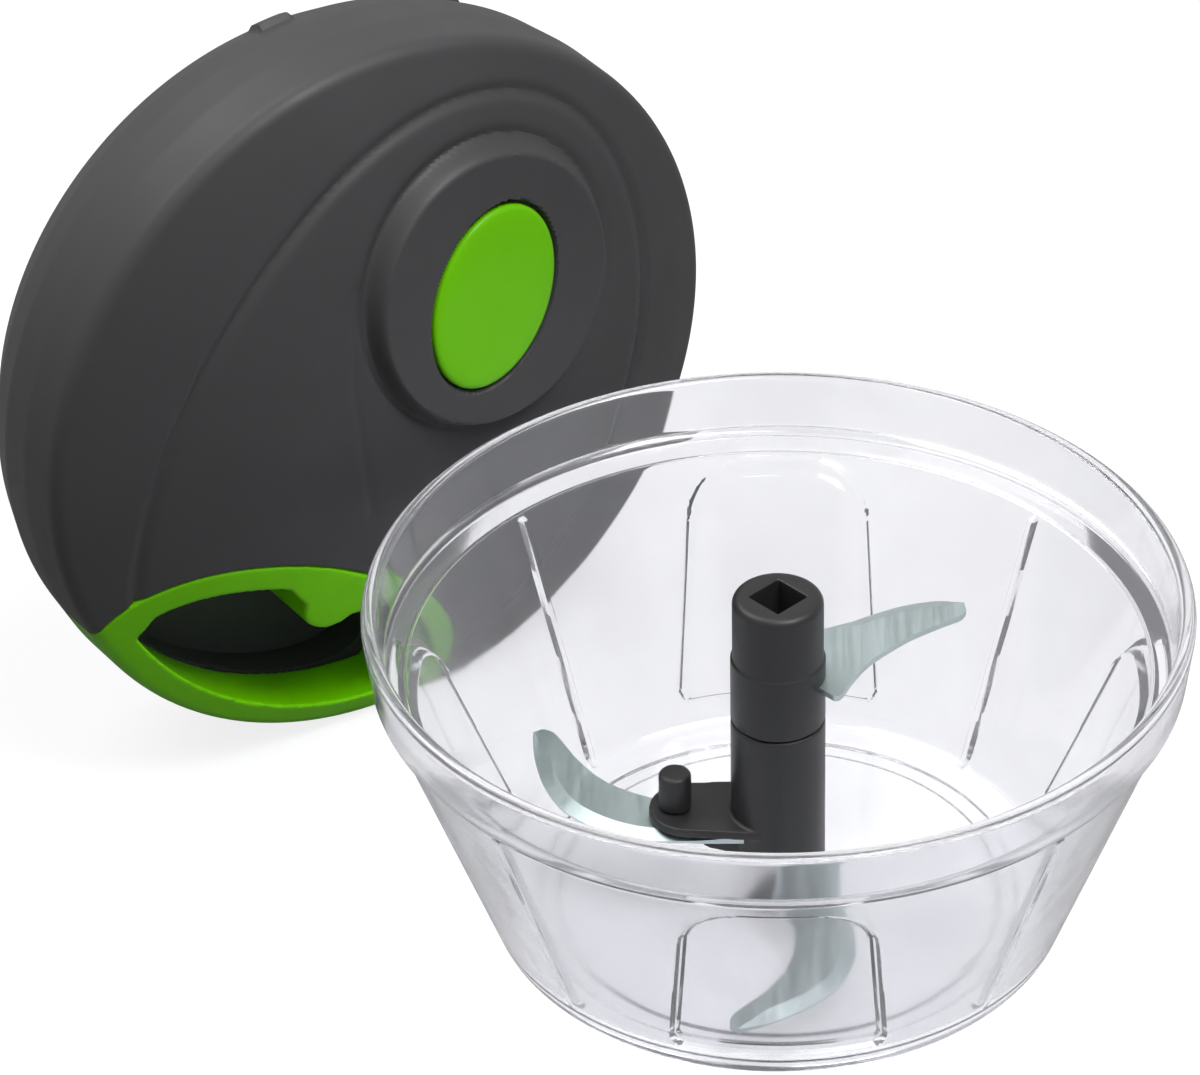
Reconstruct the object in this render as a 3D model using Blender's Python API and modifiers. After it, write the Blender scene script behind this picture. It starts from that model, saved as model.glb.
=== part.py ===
# Pull-cord vegetable chopper: a clear bowl with a blade tower, and its domed lid
# standing on edge behind it. Units are metres, Z is up, the bowl stands at the origin.

import math

import bmesh
import bpy
from mathutils import Matrix, Vector

MM = 0.001

# Clearances
FIT = 0.3 * MM
SLOT_GAP = 0.25 * MM
OVERLAP = 1.0 * MM
REACH = 8.0 * MM

# Facets round a full turn
LARGE_FACET_COUNT = 48
MEDIUM_FACET_COUNT = 32
SMALL_FACET_COUNT = 16
SCREW_FACET_COUNT = 10
DOME_RING_COUNT = 5
DISC_FACET_COUNT = 12
OVAL_FACET_COUNT = 32
HORSESHOE_FACET_COUNT = 36
POCKET_FACET_COUNT = 24
HOLE_SIDE_FACET_COUNT = 8
HOLE_FAR_FACET_COUNT = 16
TAB_FACET_COUNT = 10
KNOT_RING_COUNT = 8
CORD_STEP_COUNT = 6

# Bowl
BOWL_HEIGHT = 55.2 * MM
BOWL_BASE_R = 43.7 * MM
BOWL_SHOULDER_R = 60.3 * MM
BOWL_WALL = 2.8 * MM
BOWL_FLOOR = 2.4 * MM
BOWL_FOOT_FILLET = 2.5 * MM
BOWL_FLOOR_FILLET = 3.0 * MM
RIM_R = 62.5 * MM
RIM_HEIGHT = 9.4 * MM
RIM_TAPER = 1.2 * MM
RIM_WALL = 2.4 * MM
RIM_EDGE = 0.9 * MM
LEDGE_DEPTH = 10.3 * MM
FOOT_GROOVE_OUT_R = 37.0 * MM
FOOT_GROOVE_IN_R = 34.0 * MM
FOOT_GROOVE_DEPTH = 1.0 * MM
PANEL_COUNT = 4
PANEL_HALF_FOOT = 16.0 * MM
PANEL_HALF_TOP = 14.0 * MM
PANEL_BOTTOM = 5.5 * MM
PANEL_TOP_GAP = 4.3 * MM
PANEL_CORNER_R = 9.0 * MM
PANEL_FOOT_R = 2.0 * MM
PANEL_DEPTH = 1.0 * MM
RIB_COUNT = 4
RIB_THICK = 1.2 * MM
RIB_PROUD = 1.2 * MM
RIB_TOP_GAP = 2.0 * MM

# Pivot in the bowl floor
PIN_R = 2.0 * MM
PIN_TOP = 15.0 * MM
PIN_SOCKET_FLOOR = 1.2 * MM
PIN_BOSS_R = 4.0 * MM
PIN_BOSS_TOP = 5.7 * MM
BUSH_LENGTH = 7.0 * MM
BUSH_WALL = 2.0 * MM

# Blade tower
SHAFT_R = 7.2 * MM
SHAFT_FOOT = 3.0 * MM
SHAFT_SEAM = 34.0 * MM
CAP_TOP_R = 6.9 * MM
CAP_STEP = 45.5 * MM
CAP_HEIGHT = 22.0 * MM
CAP_EDGE = 1.2 * MM
SPIGOT_R = 4.0 * MM
SPIGOT_LENGTH = 8.0 * MM
SOCKET_DEPTH = 9.0 * MM
BLADE_THICK = 1.0 * MM
BLADE_ROOT_DEPTH = 2.0 * MM
BLADE_GRIND = 2.2 * MM
BLADE_EDGE = 0.3 * MM
LOWER_BLADE_TOP = 8.0 * MM
MIDDLE_BLADE_TOP = 15.0 * MM
UPPER_BLADE_TOP = 42.0 * MM
LOWER_BLADE_ANGLE = math.radians(291.0)
MIDDLE_BLADE_ANGLE = math.radians(180.0)
MIDDLE_BLADE_REACH = 43.6 * MM
LOWER_BLADE_REACH = 41.0 * MM
ARM_THICK = 1.5 * MM
ARM_DISC_R = 6.0 * MM
ARM_REACH = 13.7 * MM
LIP_THICK = 3.0 * MM
LIP_DISC_R = 3.0 * MM
LIP_REACH = 9.0 * MM
STUD_REACH = 15.7 * MM
STUD_PEG_R = 2.5 * MM
STUD_PEG_HEIGHT = 6.2 * MM
STUD_SHANK_R = 1.7 * MM
STUD_TAIL_R = 2.4 * MM
STUD_TAIL_THICK = 1.5 * MM

# Lid cover. Heights in the lid are measured up from the plane of its lower edge,
# and each draw is how far a radius lies inside that of the barrel.
COVER_WALL = 2.2 * MM
DOME_APEX = 42.2 * MM
DOME_R = 132.0 * MM
BARREL_R = 59.8 * MM
BARREL_TOP = 24.0 * MM
BARREL_FOOT = 19.0 * MM
SHOULDER_R = 3.0 * MM
SKIRT_MID_DRAW = 0.8 * MM
SKIRT_MID = 12.0 * MM
SKIRT_LOW_DRAW = 3.0 * MM
SKIRT_LOW = 6.0 * MM
SKIRT_DRAW = 6.6 * MM
SKIRT_WALL = 1.8 * MM
LUG_DRAW = 1.6 * MM
LUG_BOTTOM = 3.3 * MM
LUG_TOP = 7.6 * MM
LUG_WIDE = math.radians(15.0)
LUG_NARROW = math.radians(6.0)
LUG_WIDE_ANGLE = math.radians(99.0)
LUG_NARROW_ANGLE = math.radians(126.0)

# Grooves and boss on the dome
GROOVE_R = 1.0 * MM
GROOVE_DEPTH = 0.6 * MM
HORSESHOE_CENTRE = 4.0 * MM
HORSESHOE_HALF_LONG = 57.0 * MM
HORSESHOE_HALF_WIDE = 42.0 * MM
HORSESHOE_OPEN = math.radians(44.0)
BOSS_R = 22.5 * MM
BOSS_BACK = 24.0 * MM
BOSS_PROUD = 1.0 * MM
BOSS_ROOT = 3.8 * MM
BOSS_EDGE = 1.2 * MM
BOSS_TILT = math.radians(10.5)
BOSS_GROOVE_GAP = 0.9 * MM
INSERT_HALF_LONG = 14.8 * MM
INSERT_HALF_WIDE = 11.2 * MM
INSERT_FORWARD = 1.2 * MM
INSERT_DEPTH = 1.5 * MM
INSERT_PROUD = 0.5 * MM
INSERT_EDGE = 0.5 * MM

# Handle and its pocket
POCKET_FLOOR = 19.0 * MM
POCKET_CENTRE = 48.0 * MM
POCKET_HALF_WIDE = 33.5 * MM
POCKET_HALF_LONG = 22.0 * MM
RECESS_FLOOR = 13.0 * MM
RECESS_CENTRE = 43.5 * MM
RECESS_HALF_WIDE = 26.0 * MM
RECESS_HALF_LONG = 11.0 * MM
RECESS_WALL = 3.0 * MM
HANDLE_BAR = 5.0 * MM
HANDLE_CORNER = 1.2 * MM
HANDLE_RIM = 5.0 * MM
TAB_CENTRE = 33.0 * MM
TAB_R = 4.8 * MM
TAB_ROOT = 9.5 * MM
TAB_SLANT = math.radians(15.0)
KNOT_R = 2.4 * MM
KNOT_ROOM = 2.1 * MM

# Base of the lid
BASE_RIM_BOTTOM = 2.4 * MM
BASE_THICK = 2.1 * MM
BASE_RIM_IN_R = 40.0 * MM
BASE_DISH_R = 37.5 * MM
BASE_DISH = 7.5 * MM
WELL_R = 9.0 * MM
WELL_WALL = 2.2 * MM
WELL_TOP = 17.0 * MM
COVER_POST_R = 3.8 * MM
COVER_POST_DRAW = 14.2 * MM
COVER_POST_ANGLES = (75.0, 140.0, 220.0, 285.0)
PILLAR_R = 3.2 * MM
PILLAR_RING = 25.6 * MM
PILLAR_ANGLES = (80.0, 180.0, 280.0)
SCREW_R = 1.4 * MM
SCREW_HEAD_R = 2.7 * MM
SCREW_HEAD = 1.8 * MM
COVER_SCREW_LENGTH = 10.0 * MM
HOUSING_SCREW_LENGTH = 9.0 * MM

# Drive: spindle, reel, cord and recoil spring
DRIVE_SQUARE = 5.6 * MM
DRIVE_LENGTH = 8.0 * MM
JOURNAL_R = 4.1 * MM
SPINDLE_BUSH_WALL = 1.2 * MM
SPINDLE_BUSH_FLANGE_R = 7.5 * MM
FLANGE_THICK = 1.0 * MM
COLLAR_R = 6.5 * MM
REEL_SQUARE = 6.0 * MM
REEL_SQUARE_LENGTH = 11.4 * MM
REEL_FLANGE_R = 19.5 * MM
REEL_FLANGE_THICK = 1.2 * MM
DRUM_R = 13.0 * MM
DRUM_LENGTH = 4.9 * MM
HUB_R = 6.0 * MM
HUB_RISE = 6.4 * MM
REEL_SCREW_LENGTH = 9.0 * MM
CORD_R = 0.8 * MM
SPRING_IN_R = 6.8 * MM
SPRING_OUT_R = 18.6 * MM
SPRING_TURN_COUNT = 5
SPRING_FACET_COUNT = 16
SPRING_STRIP = 0.35 * MM
SPRING_HEIGHT = 4.2 * MM
HOUSING_IN_R = 19.4 * MM
HOUSING_WALL = 1.6 * MM
HOUSING_GAP = 0.6 * MM
EAR_THICK = 2.0 * MM
GUIDE_FLANGE_R = 4.4 * MM
GUIDE_FLANGE = 1.6 * MM
GUIDE_BARREL_R = 2.8 * MM
GUIDE_MOUTH_R = 3.2 * MM
CORD_EASE = 2.5 * MM

# Where the lid stands
LID_PLACE = Vector((-77.2 * MM, 72.7 * MM))
LID_TURN = math.radians(36.0)
LID_LEAN = math.radians(0.2)
LID_ROLL = math.radians(-32.0)

# Values that follow from the sizes above
LEDGE_Z = BOWL_HEIGHT - LEDGE_DEPTH
RIM_FOOT_Z = BOWL_HEIGHT - RIM_HEIGHT
PIN_HOLE_R = PIN_R + FIT
BUSH_R = PIN_HOLE_R + BUSH_WALL
BUSH_BOTTOM = PIN_BOSS_TOP + FIT
SHAFT_BORE_R = max(BUSH_R, PIN_BOSS_R) + FIT
CAP_BOTTOM = SHAFT_SEAM + FIT
SHAFT_TOP = CAP_BOTTOM + CAP_HEIGHT
SOCKET_SQUARE = DRIVE_SQUARE + 2 * FIT
ARM_BOTTOM = MIDDLE_BLADE_TOP + FIT
ARM_TOP = ARM_BOTTOM + ARM_THICK
LIP_TOP = MIDDLE_BLADE_TOP - BLADE_THICK - FIT
BASE_RIM_TOP = BASE_RIM_BOTTOM + BASE_THICK
SKIRT_MID_R = BARREL_R - SKIRT_MID_DRAW
SKIRT_LOW_R = BARREL_R - SKIRT_LOW_DRAW
SKIRT_R = BARREL_R - SKIRT_DRAW
SKIRT_BORE_R = SKIRT_R - SKIRT_WALL
LUG_R = BARREL_R - LUG_DRAW
BASE_R = SKIRT_BORE_R - FIT
COVER_POST_RING = BARREL_R - COVER_POST_DRAW
DISH_TOP = BASE_DISH + BASE_THICK
CEILING_TOP = WELL_TOP + BASE_THICK
POST_BOTTOM = BASE_RIM_TOP + FIT
SCREW_HOLE_R = SCREW_R + FIT
SPINDLE_BUSH_BORE_R = JOURNAL_R + FIT
SPINDLE_BUSH_R = SPINDLE_BUSH_BORE_R + SPINDLE_BUSH_WALL
BUSH_FLANGE_TOP = CEILING_TOP + FIT + FLANGE_THICK
COLLAR_BOTTOM = BUSH_FLANGE_TOP + FIT
COLLAR_TOP = COLLAR_BOTTOM + FLANGE_THICK
REEL_BOTTOM = COLLAR_TOP + FIT
DRUM_BOTTOM = REEL_BOTTOM + REEL_FLANGE_THICK
DRUM_TOP = DRUM_BOTTOM + DRUM_LENGTH
REEL_TOP = DRUM_TOP + REEL_FLANGE_THICK
HUB_TOP = REEL_TOP + HUB_RISE
REEL_SQUARE_TOP = COLLAR_TOP + REEL_SQUARE_LENGTH
CORD_LEVEL = (DRUM_BOTTOM + DRUM_TOP) / 2
WOUND_R = DRUM_R + FIT + 2 * CORD_R
CORD_HOLE_R = CORD_R + FIT
HOUSING_BOTTOM = REEL_TOP + HOUSING_GAP
HOUSING_R = HOUSING_IN_R + HOUSING_WALL
SPRING_BOTTOM = REEL_TOP + HOUSING_GAP
HOUSING_ROOF = SPRING_BOTTOM + SPRING_HEIGHT + HOUSING_GAP
PILLAR_TOP = HOUSING_BOTTOM - FIT
POCKET_NEAR = POCKET_CENTRE - POCKET_HALF_LONG
GUIDE_FLANGE_FACE = POCKET_NEAR - COVER_WALL - FIT
LID_FRAME = (
    Matrix.Translation((
        LID_PLACE.x,
        LID_PLACE.y,
        BARREL_R * math.cos(LID_LEAN) - BARREL_FOOT * math.sin(LID_LEAN),
    ))
    @ Matrix.Rotation(LID_TURN, 4, "Z")
    @ Matrix.Rotation(math.radians(90.0) - LID_LEAN, 4, "X")
    @ Matrix.Rotation(LID_ROLL, 4, "Z")
)

# Outline of the lower two blades, root along +X, for a reach of MIDDLE_BLADE_REACH.
# The ground edge is the outer side, from the first point of BLADE_OUTER to its last.
BLADE_INNER = (
    (5.2, -5.4), (12.0, -4.2), (17.6, -4.0), (22.9, -6.1), (27.2, -9.2),
    (30.9, -14.0), (33.6, -19.0), (35.0, -21.2), (36.6, -22.0),
)
BLADE_OUTER = (
    (38.1, -21.2), (37.9, -17.2), (37.2, -12.7), (35.8, -7.7), (33.4, -2.9),
    (30.0, 0.6), (25.6, 3.4), (20.0, 5.2), (12.0, 5.7), (8.4, 5.7),
)
# Outline of the upper blade, as it lies.
UPPER_BLADE_INNER = (
    (5.0, -2.6), (7.6, -4.9), (8.7, -5.7), (9.7, -4.9), (11.2, -1.5), (13.5, 2.6),
    (16.8, 6.4), (20.4, 9.8), (24.7, 12.8), (27.8, 14.8), (28.7, 16.4),
)
UPPER_BLADE_OUTER = (
    (28.4, 18.3), (27.0, 19.4), (24.0, 19.6), (19.2, 18.4), (14.8, 16.3),
    (10.5, 13.8), (6.7, 11.4),
)
UPPER_BLADE_ROOT = ((2.5, 8.0), (1.4, 5.4))


# Helpers

def clear_scene():
    for item in list(bpy.data.objects):
        bpy.data.objects.remove(item, do_unlink=True)


def new_collection(name):
    collection = bpy.data.collections.new(name)
    bpy.context.scene.collection.children.link(collection)
    return collection


clear_scene()
PARTS = new_collection("vegetable_chopper")
CUTTERS = new_collection("cutters")


def material(name, colour, roughness, metallic=0.0, transmission=0.0):
    made = bpy.data.materials.new(name)
    made.use_nodes = True
    made.diffuse_color = (*colour, 1.0)
    shader = made.node_tree.nodes["Principled BSDF"]
    shader.inputs["Base Color"].default_value = (*colour, 1.0)
    shader.inputs["Roughness"].default_value = roughness
    shader.inputs["Metallic"].default_value = metallic
    shader.inputs["Transmission Weight"].default_value = transmission
    return made


def finish_part(part, finish, parent=None):
    """List an object as a part of the chopper, with its material and its parent."""
    PARTS.objects.link(part)
    part.data.materials.append(finish)
    part.parent = parent
    return part


def finish_cutter(part, parent=None):
    CUTTERS.objects.link(part)
    part.hide_render = True
    part.display_type = "WIRE"
    part.parent = parent
    return part


def rounded(corners, steps=3):
    """Outline through corners (x, y) or (x, y, radius), the latter with a round corner."""
    points = []
    for index, corner in enumerate(corners):
        here = Vector(corner[:2])
        if len(corner) < 3:
            points.append(here)
            continue
        radius = corner[2]
        back = (Vector(corners[index - 1][:2]) - here).normalized()
        ahead = (Vector(corners[(index + 1) % len(corners)][:2]) - here).normalized()
        half = back.angle(ahead) / 2
        centre = here + (back + ahead).normalized() * radius / math.sin(half)
        first = here + back * radius / math.tan(half) - centre
        last = here + ahead * radius / math.tan(half) - centre
        start = math.atan2(first.y, first.x)
        sweep = math.remainder(math.atan2(last.y, last.x) - start, math.tau)
        points += arc(centre, radius, start, start + sweep, steps)
    return points


def arc(centre, radius, start, end, steps):
    return ellipse_arc(centre, radius, radius, start, end, steps)


def ellipse_arc(centre, radius_x, radius_y, start, end, steps):
    points = []
    for index in range(steps + 1):
        angle = start + (end - start) * index / steps
        points.append(Vector((
            centre[0] + radius_x * math.cos(angle),
            centre[1] + radius_y * math.sin(angle),
        )))
    return points


def grown(points, gap):
    """Outline moved outwards by a gap; the points run anticlockwise."""
    moved = []
    for index, here in enumerate(points):
        before = (here - points[index - 1]).normalized()
        after = (points[(index + 1) % len(points)] - here).normalized()
        along = (before + after).normalized()
        stretch = 1 / max(along.dot(before), 0.5)
        moved.append(here + Vector((along.y, -along.x)) * gap * stretch)
    return moved


def turned(name, profile, steps):
    """Turned solid from a profile (radius, height) that runs down its outer side."""
    mesh = bpy.data.meshes.new(name)
    open_ended = profile[0][0] == 0 and profile[-1][0] == 0
    count = len(profile)
    edges = [(index, index + 1) for index in range(count - 1)]
    if not open_ended:
        edges.append((count - 1, 0))
    mesh.from_pydata([(point[0], 0, point[1]) for point in profile], edges, [])
    part = bpy.data.objects.new(name, mesh)
    screw = part.modifiers.new("Turn", "SCREW")
    screw.steps = steps
    screw.render_steps = steps
    screw.use_merge_vertices = True
    screw.merge_threshold = 0.000005
    return part


def plain_mesh(source):
    """Closed mesh from a curve or a modified object, which it replaces."""
    bpy.context.scene.collection.objects.link(source)
    bpy.context.view_layer.update()
    graph = bpy.context.evaluated_depsgraph_get()
    mesh = bpy.data.meshes.new_from_object(source.evaluated_get(graph))
    shape = bmesh.new()
    shape.from_mesh(mesh)
    bmesh.ops.remove_doubles(shape, verts=shape.verts, dist=0.000002)
    bmesh.ops.recalc_face_normals(shape, faces=shape.faces)
    shape.to_mesh(mesh)
    shape.free()
    made = bpy.data.objects.new(source.name, mesh)
    name = source.name
    made.matrix_world = source.matrix_world.copy()
    bpy.data.objects.remove(source, do_unlink=True)
    made.name = name
    mesh.name = name
    return made


def plate(name, outline, bottom, top):
    """Flat outline raised from one height to another."""
    curve = bpy.data.curves.new(name, "CURVE")
    curve.dimensions = "2D"
    curve.fill_mode = "BOTH"
    curve.extrude = (top - bottom) / 2
    spline = curve.splines.new("POLY")
    spline.points.add(len(outline) - 1)
    for point, place in zip(spline.points, outline):
        point.co = (place[0], place[1], 0, 1)
    spline.use_cyclic_u = True
    source = bpy.data.objects.new(name, curve)
    source.location.z = (top + bottom) / 2
    return plain_mesh(source)


def tube(name, route, radius, resolution, closed=False):
    curve = bpy.data.curves.new(name, "CURVE")
    curve.dimensions = "3D"
    curve.bevel_depth = radius
    curve.bevel_resolution = resolution
    curve.use_fill_caps = not closed
    spline = curve.splines.new("POLY")
    spline.points.add(len(route) - 1)
    for point, place in zip(spline.points, route):
        point.co = (*place, 1)
    spline.use_cyclic_u = closed
    return plain_mesh(bpy.data.objects.new(name, curve))


def cylinder(name, radius, bottom, top, steps=SMALL_FACET_COUNT):
    shape = bmesh.new()
    bmesh.ops.create_cone(
        shape, cap_ends=True, segments=steps, radius1=radius, radius2=radius,
        depth=top - bottom, matrix=Matrix.Translation((0, 0, (top + bottom) / 2)),
    )
    return from_bmesh(name, shape)


def box(name, low, high):
    size = [b - a for a, b in zip(low, high)]
    middle = [(a + b) / 2 for a, b in zip(low, high)]
    shape = bmesh.new()
    place = Matrix.Translation(middle) @ Matrix.Diagonal((*size, 1))
    bmesh.ops.create_cube(shape, size=1, matrix=place)
    return from_bmesh(name, shape)


def square_bar(name, across, bottom, top):
    half = across / 2
    return box(name, (-half, -half, bottom), (half, half, top))


def from_bmesh(name, shape):
    mesh = bpy.data.meshes.new(name)
    shape.to_mesh(mesh)
    shape.free()
    return bpy.data.objects.new(name, mesh)


def copies(name, source, places):
    """One object that holds a copy of the source at each place."""
    base = plain_mesh(source)
    shape = bmesh.new()
    for place in places:
        part = base.data.copy()
        part.transform(place @ base.matrix_world)
        shape.from_mesh(part)
        bpy.data.meshes.remove(part)
    bpy.data.objects.remove(base, do_unlink=True)
    return from_bmesh(name, shape)


def combine(target, tool, operation, parent=None):
    finish_cutter(tool, parent)
    change = target.modifiers.new(operation.title(), "BOOLEAN")
    change.object = tool
    change.operation = operation
    change.solver = "EXACT"


def cut(target, tool, parent=None):
    combine(target, tool, "DIFFERENCE", parent)


def add(target, tool, parent=None):
    combine(target, tool, "UNION", parent)


def keep(target, tool, parent=None):
    combine(target, tool, "INTERSECT", parent)


def ring_places(radius, angles, forward=False):
    """Places on a ring; in the lid, angles start at the handle's side."""
    places = []
    for angle in angles:
        turn = math.radians(angle - 90.0 if forward else angle)
        places.append(
            Matrix.Rotation(turn, 4, "Z") @ Matrix.Translation((radius, 0, 0))
        )
    return places


def turns(count, first=0.0):
    return [first + 360.0 * index / count for index in range(count)]


# Materials

CLEAR = material("clear_plastic", (0.90, 0.93, 0.94), 0.06, transmission=1.0)
SHELL_GREY = material("soft_dark_grey", (0.085, 0.085, 0.09), 0.45)
SHAFT_GREY = material("shaft_dark_grey", (0.03, 0.03, 0.032), 0.5)
GREEN = material("gloss_green", (0.12, 0.42, 0.012), 0.25)
STEEL = material("blade_steel", (0.52, 0.58, 0.58), 0.3, metallic=1.0)
BRIGHT_STEEL = material("bright_steel", (0.62, 0.62, 0.63), 0.25, metallic=1.0)
SPRING_STEEL = material("spring_steel", (0.3, 0.3, 0.33), 0.35, metallic=1.0)
BEARING_WHITE = material("bearing_plastic", (0.8, 0.8, 0.76), 0.4)
REEL_WHITE = material("reel_plastic", (0.75, 0.75, 0.75), 0.4)
BASE_GREY = material("base_dark_grey", (0.06, 0.06, 0.065), 0.45)
CORD_WHITE = material("cord_nylon", (0.8, 0.8, 0.78), 0.8)


# Bowl

def wall_outside(height):
    share = height / RIM_FOOT_Z
    return BOWL_BASE_R + (BOWL_SHOULDER_R - BOWL_BASE_R) * share


def wall_inside(height):
    return wall_outside(height) - BOWL_WALL


def bowl_profile():
    return rounded([
        (0, PIN_SOCKET_FLOOR),
        (PIN_HOLE_R, PIN_SOCKET_FLOOR),
        (PIN_HOLE_R, PIN_BOSS_TOP),
        (PIN_BOSS_R, PIN_BOSS_TOP),
        (PIN_BOSS_R, BOWL_FLOOR),
        (wall_inside(BOWL_FLOOR), BOWL_FLOOR, BOWL_FLOOR_FILLET),
        (wall_inside(LEDGE_Z), LEDGE_Z),
        (RIM_R - RIM_TAPER - RIM_WALL, LEDGE_Z),
        (RIM_R - RIM_WALL, BOWL_HEIGHT, RIM_EDGE),
        (RIM_R, BOWL_HEIGHT, RIM_EDGE),
        (RIM_R - RIM_TAPER, RIM_FOOT_Z),
        (wall_outside(RIM_FOOT_Z), RIM_FOOT_Z),
        (BOWL_BASE_R, 0, BOWL_FOOT_FILLET),
        (FOOT_GROOVE_OUT_R, 0),
        (FOOT_GROOVE_OUT_R, FOOT_GROOVE_DEPTH),
        (FOOT_GROOVE_IN_R, FOOT_GROOVE_DEPTH),
        (FOOT_GROOVE_IN_R, 0),
        (0, 0),
    ])


def panel_arches(name):
    """Four arched blocks that stand in the wall, one for each side of the bowl."""
    top = RIM_FOOT_Z - PANEL_TOP_GAP
    outline = rounded([
        (-PANEL_HALF_FOOT, PANEL_BOTTOM, PANEL_FOOT_R),
        (PANEL_HALF_FOOT, PANEL_BOTTOM, PANEL_FOOT_R),
        (PANEL_HALF_TOP, top, PANEL_CORNER_R),
        (-PANEL_HALF_TOP, top, PANEL_CORNER_R),
    ], steps=4)
    arch = plate(name, outline, BOWL_BASE_R / 2, RIM_R + REACH)
    upright = Matrix(((0, 0, 1, 0), (1, 0, 0, 0), (0, 1, 0, 0), (0, 0, 0, 1)))
    places = [
        Matrix.Rotation(math.radians(angle), 4, "Z") @ upright
        for angle in turns(PANEL_COUNT)
    ]
    return copies(name, arch, places)


def wall_band(name, from_r, to_r):
    """Ring between two offsets of the wall's outside, taller than the panels."""
    low = PANEL_BOTTOM - OVERLAP
    high = RIM_FOOT_Z - OVERLAP
    profile = [
        (wall_outside(high) + from_r, high),
        (wall_outside(high) + to_r, high),
        (wall_outside(low) + to_r, low),
        (wall_outside(low) + from_r, low),
    ]
    return turned(name, profile, LARGE_FACET_COUNT)


def build_bowl():
    bowl = turned("bowl", bowl_profile(), LARGE_FACET_COUNT)
    finish_part(bowl, CLEAR)
    recess = panel_arches("panel_recess")
    keep(recess, wall_band("recess_band", -PANEL_DEPTH, REACH))
    cut(bowl, recess)
    swell = panel_arches("panel_swell")
    inward = -BOWL_WALL - PANEL_DEPTH
    keep(swell, wall_band("swell_band", inward, -BOWL_WALL + BOWL_WALL / 4))
    add(bowl, swell)
    top = LEDGE_Z - RIB_TOP_GAP
    low = BOWL_FLOOR - OVERLAP
    outline = [
        Vector((wall_inside(low) - RIB_PROUD, low)),
        Vector((wall_inside(low) + OVERLAP, low)),
        Vector((wall_inside(top) + OVERLAP, top)),
        Vector((wall_inside(top) - RIB_PROUD, top)),
    ]
    rib = plate("rib", outline, -RIB_THICK / 2, RIB_THICK / 2)
    places = [
        Matrix.Rotation(math.radians(angle), 4, "Z")
        @ Matrix.Rotation(math.radians(90.0), 4, "X")
        for angle in turns(RIB_COUNT, first=180.0 / RIB_COUNT)
    ]
    add(bowl, copies("wall_ribs", rib, places))


def build_pivot():
    profile = rounded([
        (0, PIN_TOP),
        (PIN_R, PIN_TOP, PIN_R / 3),
        (PIN_R, PIN_SOCKET_FLOOR + FIT),
        (0, PIN_SOCKET_FLOOR + FIT),
    ])
    finish_part(turned("pivot_pin", profile, SMALL_FACET_COUNT), BRIGHT_STEEL)
    profile = [
        (PIN_HOLE_R, BUSH_BOTTOM + BUSH_LENGTH),
        (BUSH_R, BUSH_BOTTOM + BUSH_LENGTH),
        (BUSH_R, BUSH_BOTTOM),
        (PIN_HOLE_R, BUSH_BOTTOM),
    ]
    finish_part(turned("shaft_bush", profile, SMALL_FACET_COUNT), BEARING_WHITE)


# Blade tower

def millimetres(points, scale=1.0):
    return [Vector(point) * MM * scale for point in points]


def blade_outline(reach):
    scale = reach / MIDDLE_BLADE_REACH
    root_r = SHAFT_R - BLADE_ROOT_DEPTH
    inner = millimetres(BLADE_INNER, scale)
    outer = millimetres(BLADE_OUTER, scale)
    root = [Vector((root_r, outer[-1].y))]
    return inner, outer, root


def upper_outline():
    return (
        millimetres(UPPER_BLADE_INNER),
        millimetres(UPPER_BLADE_OUTER),
        millimetres(UPPER_BLADE_ROOT),
    )


def blade(name, pieces, top):
    """Flat blade whose outer side is ground from the top down to a thin edge."""
    inner, outer, root = pieces
    outline = inner + outer + root
    drawn = grown(outline, -BLADE_GRIND)
    first = len(inner)
    last = first + len(outer) - 1
    shape = bmesh.new()
    bottom = [shape.verts.new((point.x, point.y, -BLADE_THICK)) for point in outline]
    face = shape.faces.new(bottom)
    raised = bmesh.ops.extrude_face_region(shape, geom=[face])["geom"]
    lifted = [item for item in raised if isinstance(item, bmesh.types.BMVert)]
    lifted.sort(key=lambda vert: min(
        range(len(outline)), key=lambda i: (vert.co.xy - outline[i]).length))
    for index, vert in enumerate(lifted):
        vert.co.z = 0
        if first < index < last:
            vert.co.xy = drawn[index]
    ground = [
        edge for edge in shape.edges
        if edge.verts[0].co.z != edge.verts[1].co.z
        and (edge.verts[0].co.xy - edge.verts[1].co.xy).length > BLADE_EDGE
    ]
    for edge in ground:
        low = min(edge.verts, key=lambda vert: vert.co.z)
        _, middle = bmesh.utils.edge_split(edge, low, 0.5)
        middle.co = (low.co.x, low.co.y, -BLADE_THICK + BLADE_EDGE)
    bmesh.ops.triangulate(shape, faces=[f for f in shape.faces if abs(f.normal.z) < 0.99])
    bmesh.ops.recalc_face_normals(shape, faces=shape.faces)
    made = from_bmesh(name, shape)
    made.location.z = top
    return finish_part(made, STEEL)


def blade_slot(name, pieces, top):
    """Room for a blade's root, wider and taller than the root by the slot gap."""
    inner, outer, root = pieces
    room = grown(inner + outer + root, SLOT_GAP)
    return plate(name, room, top - BLADE_THICK - SLOT_GAP, top + SLOT_GAP)


def arm_outline(reach, disc_r):
    """Taper from the shaft to a disc, both sides touching the two circles."""
    slant = math.acos((SHAFT_R - disc_r) / reach)
    disc = arc((reach, 0), disc_r, -slant, slant, DISC_FACET_COUNT)
    shaft = [Vector((0, SHAFT_R * math.sin(slant))), Vector((0, -SHAFT_R * math.sin(slant)))]
    return disc + shaft


def stand_arm(name, reach, disc_r, bottom, top):
    arm = plate(name, arm_outline(reach, disc_r), bottom, top)
    arm.rotation_euler.z = MIDDLE_BLADE_ANGLE
    return arm


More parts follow.
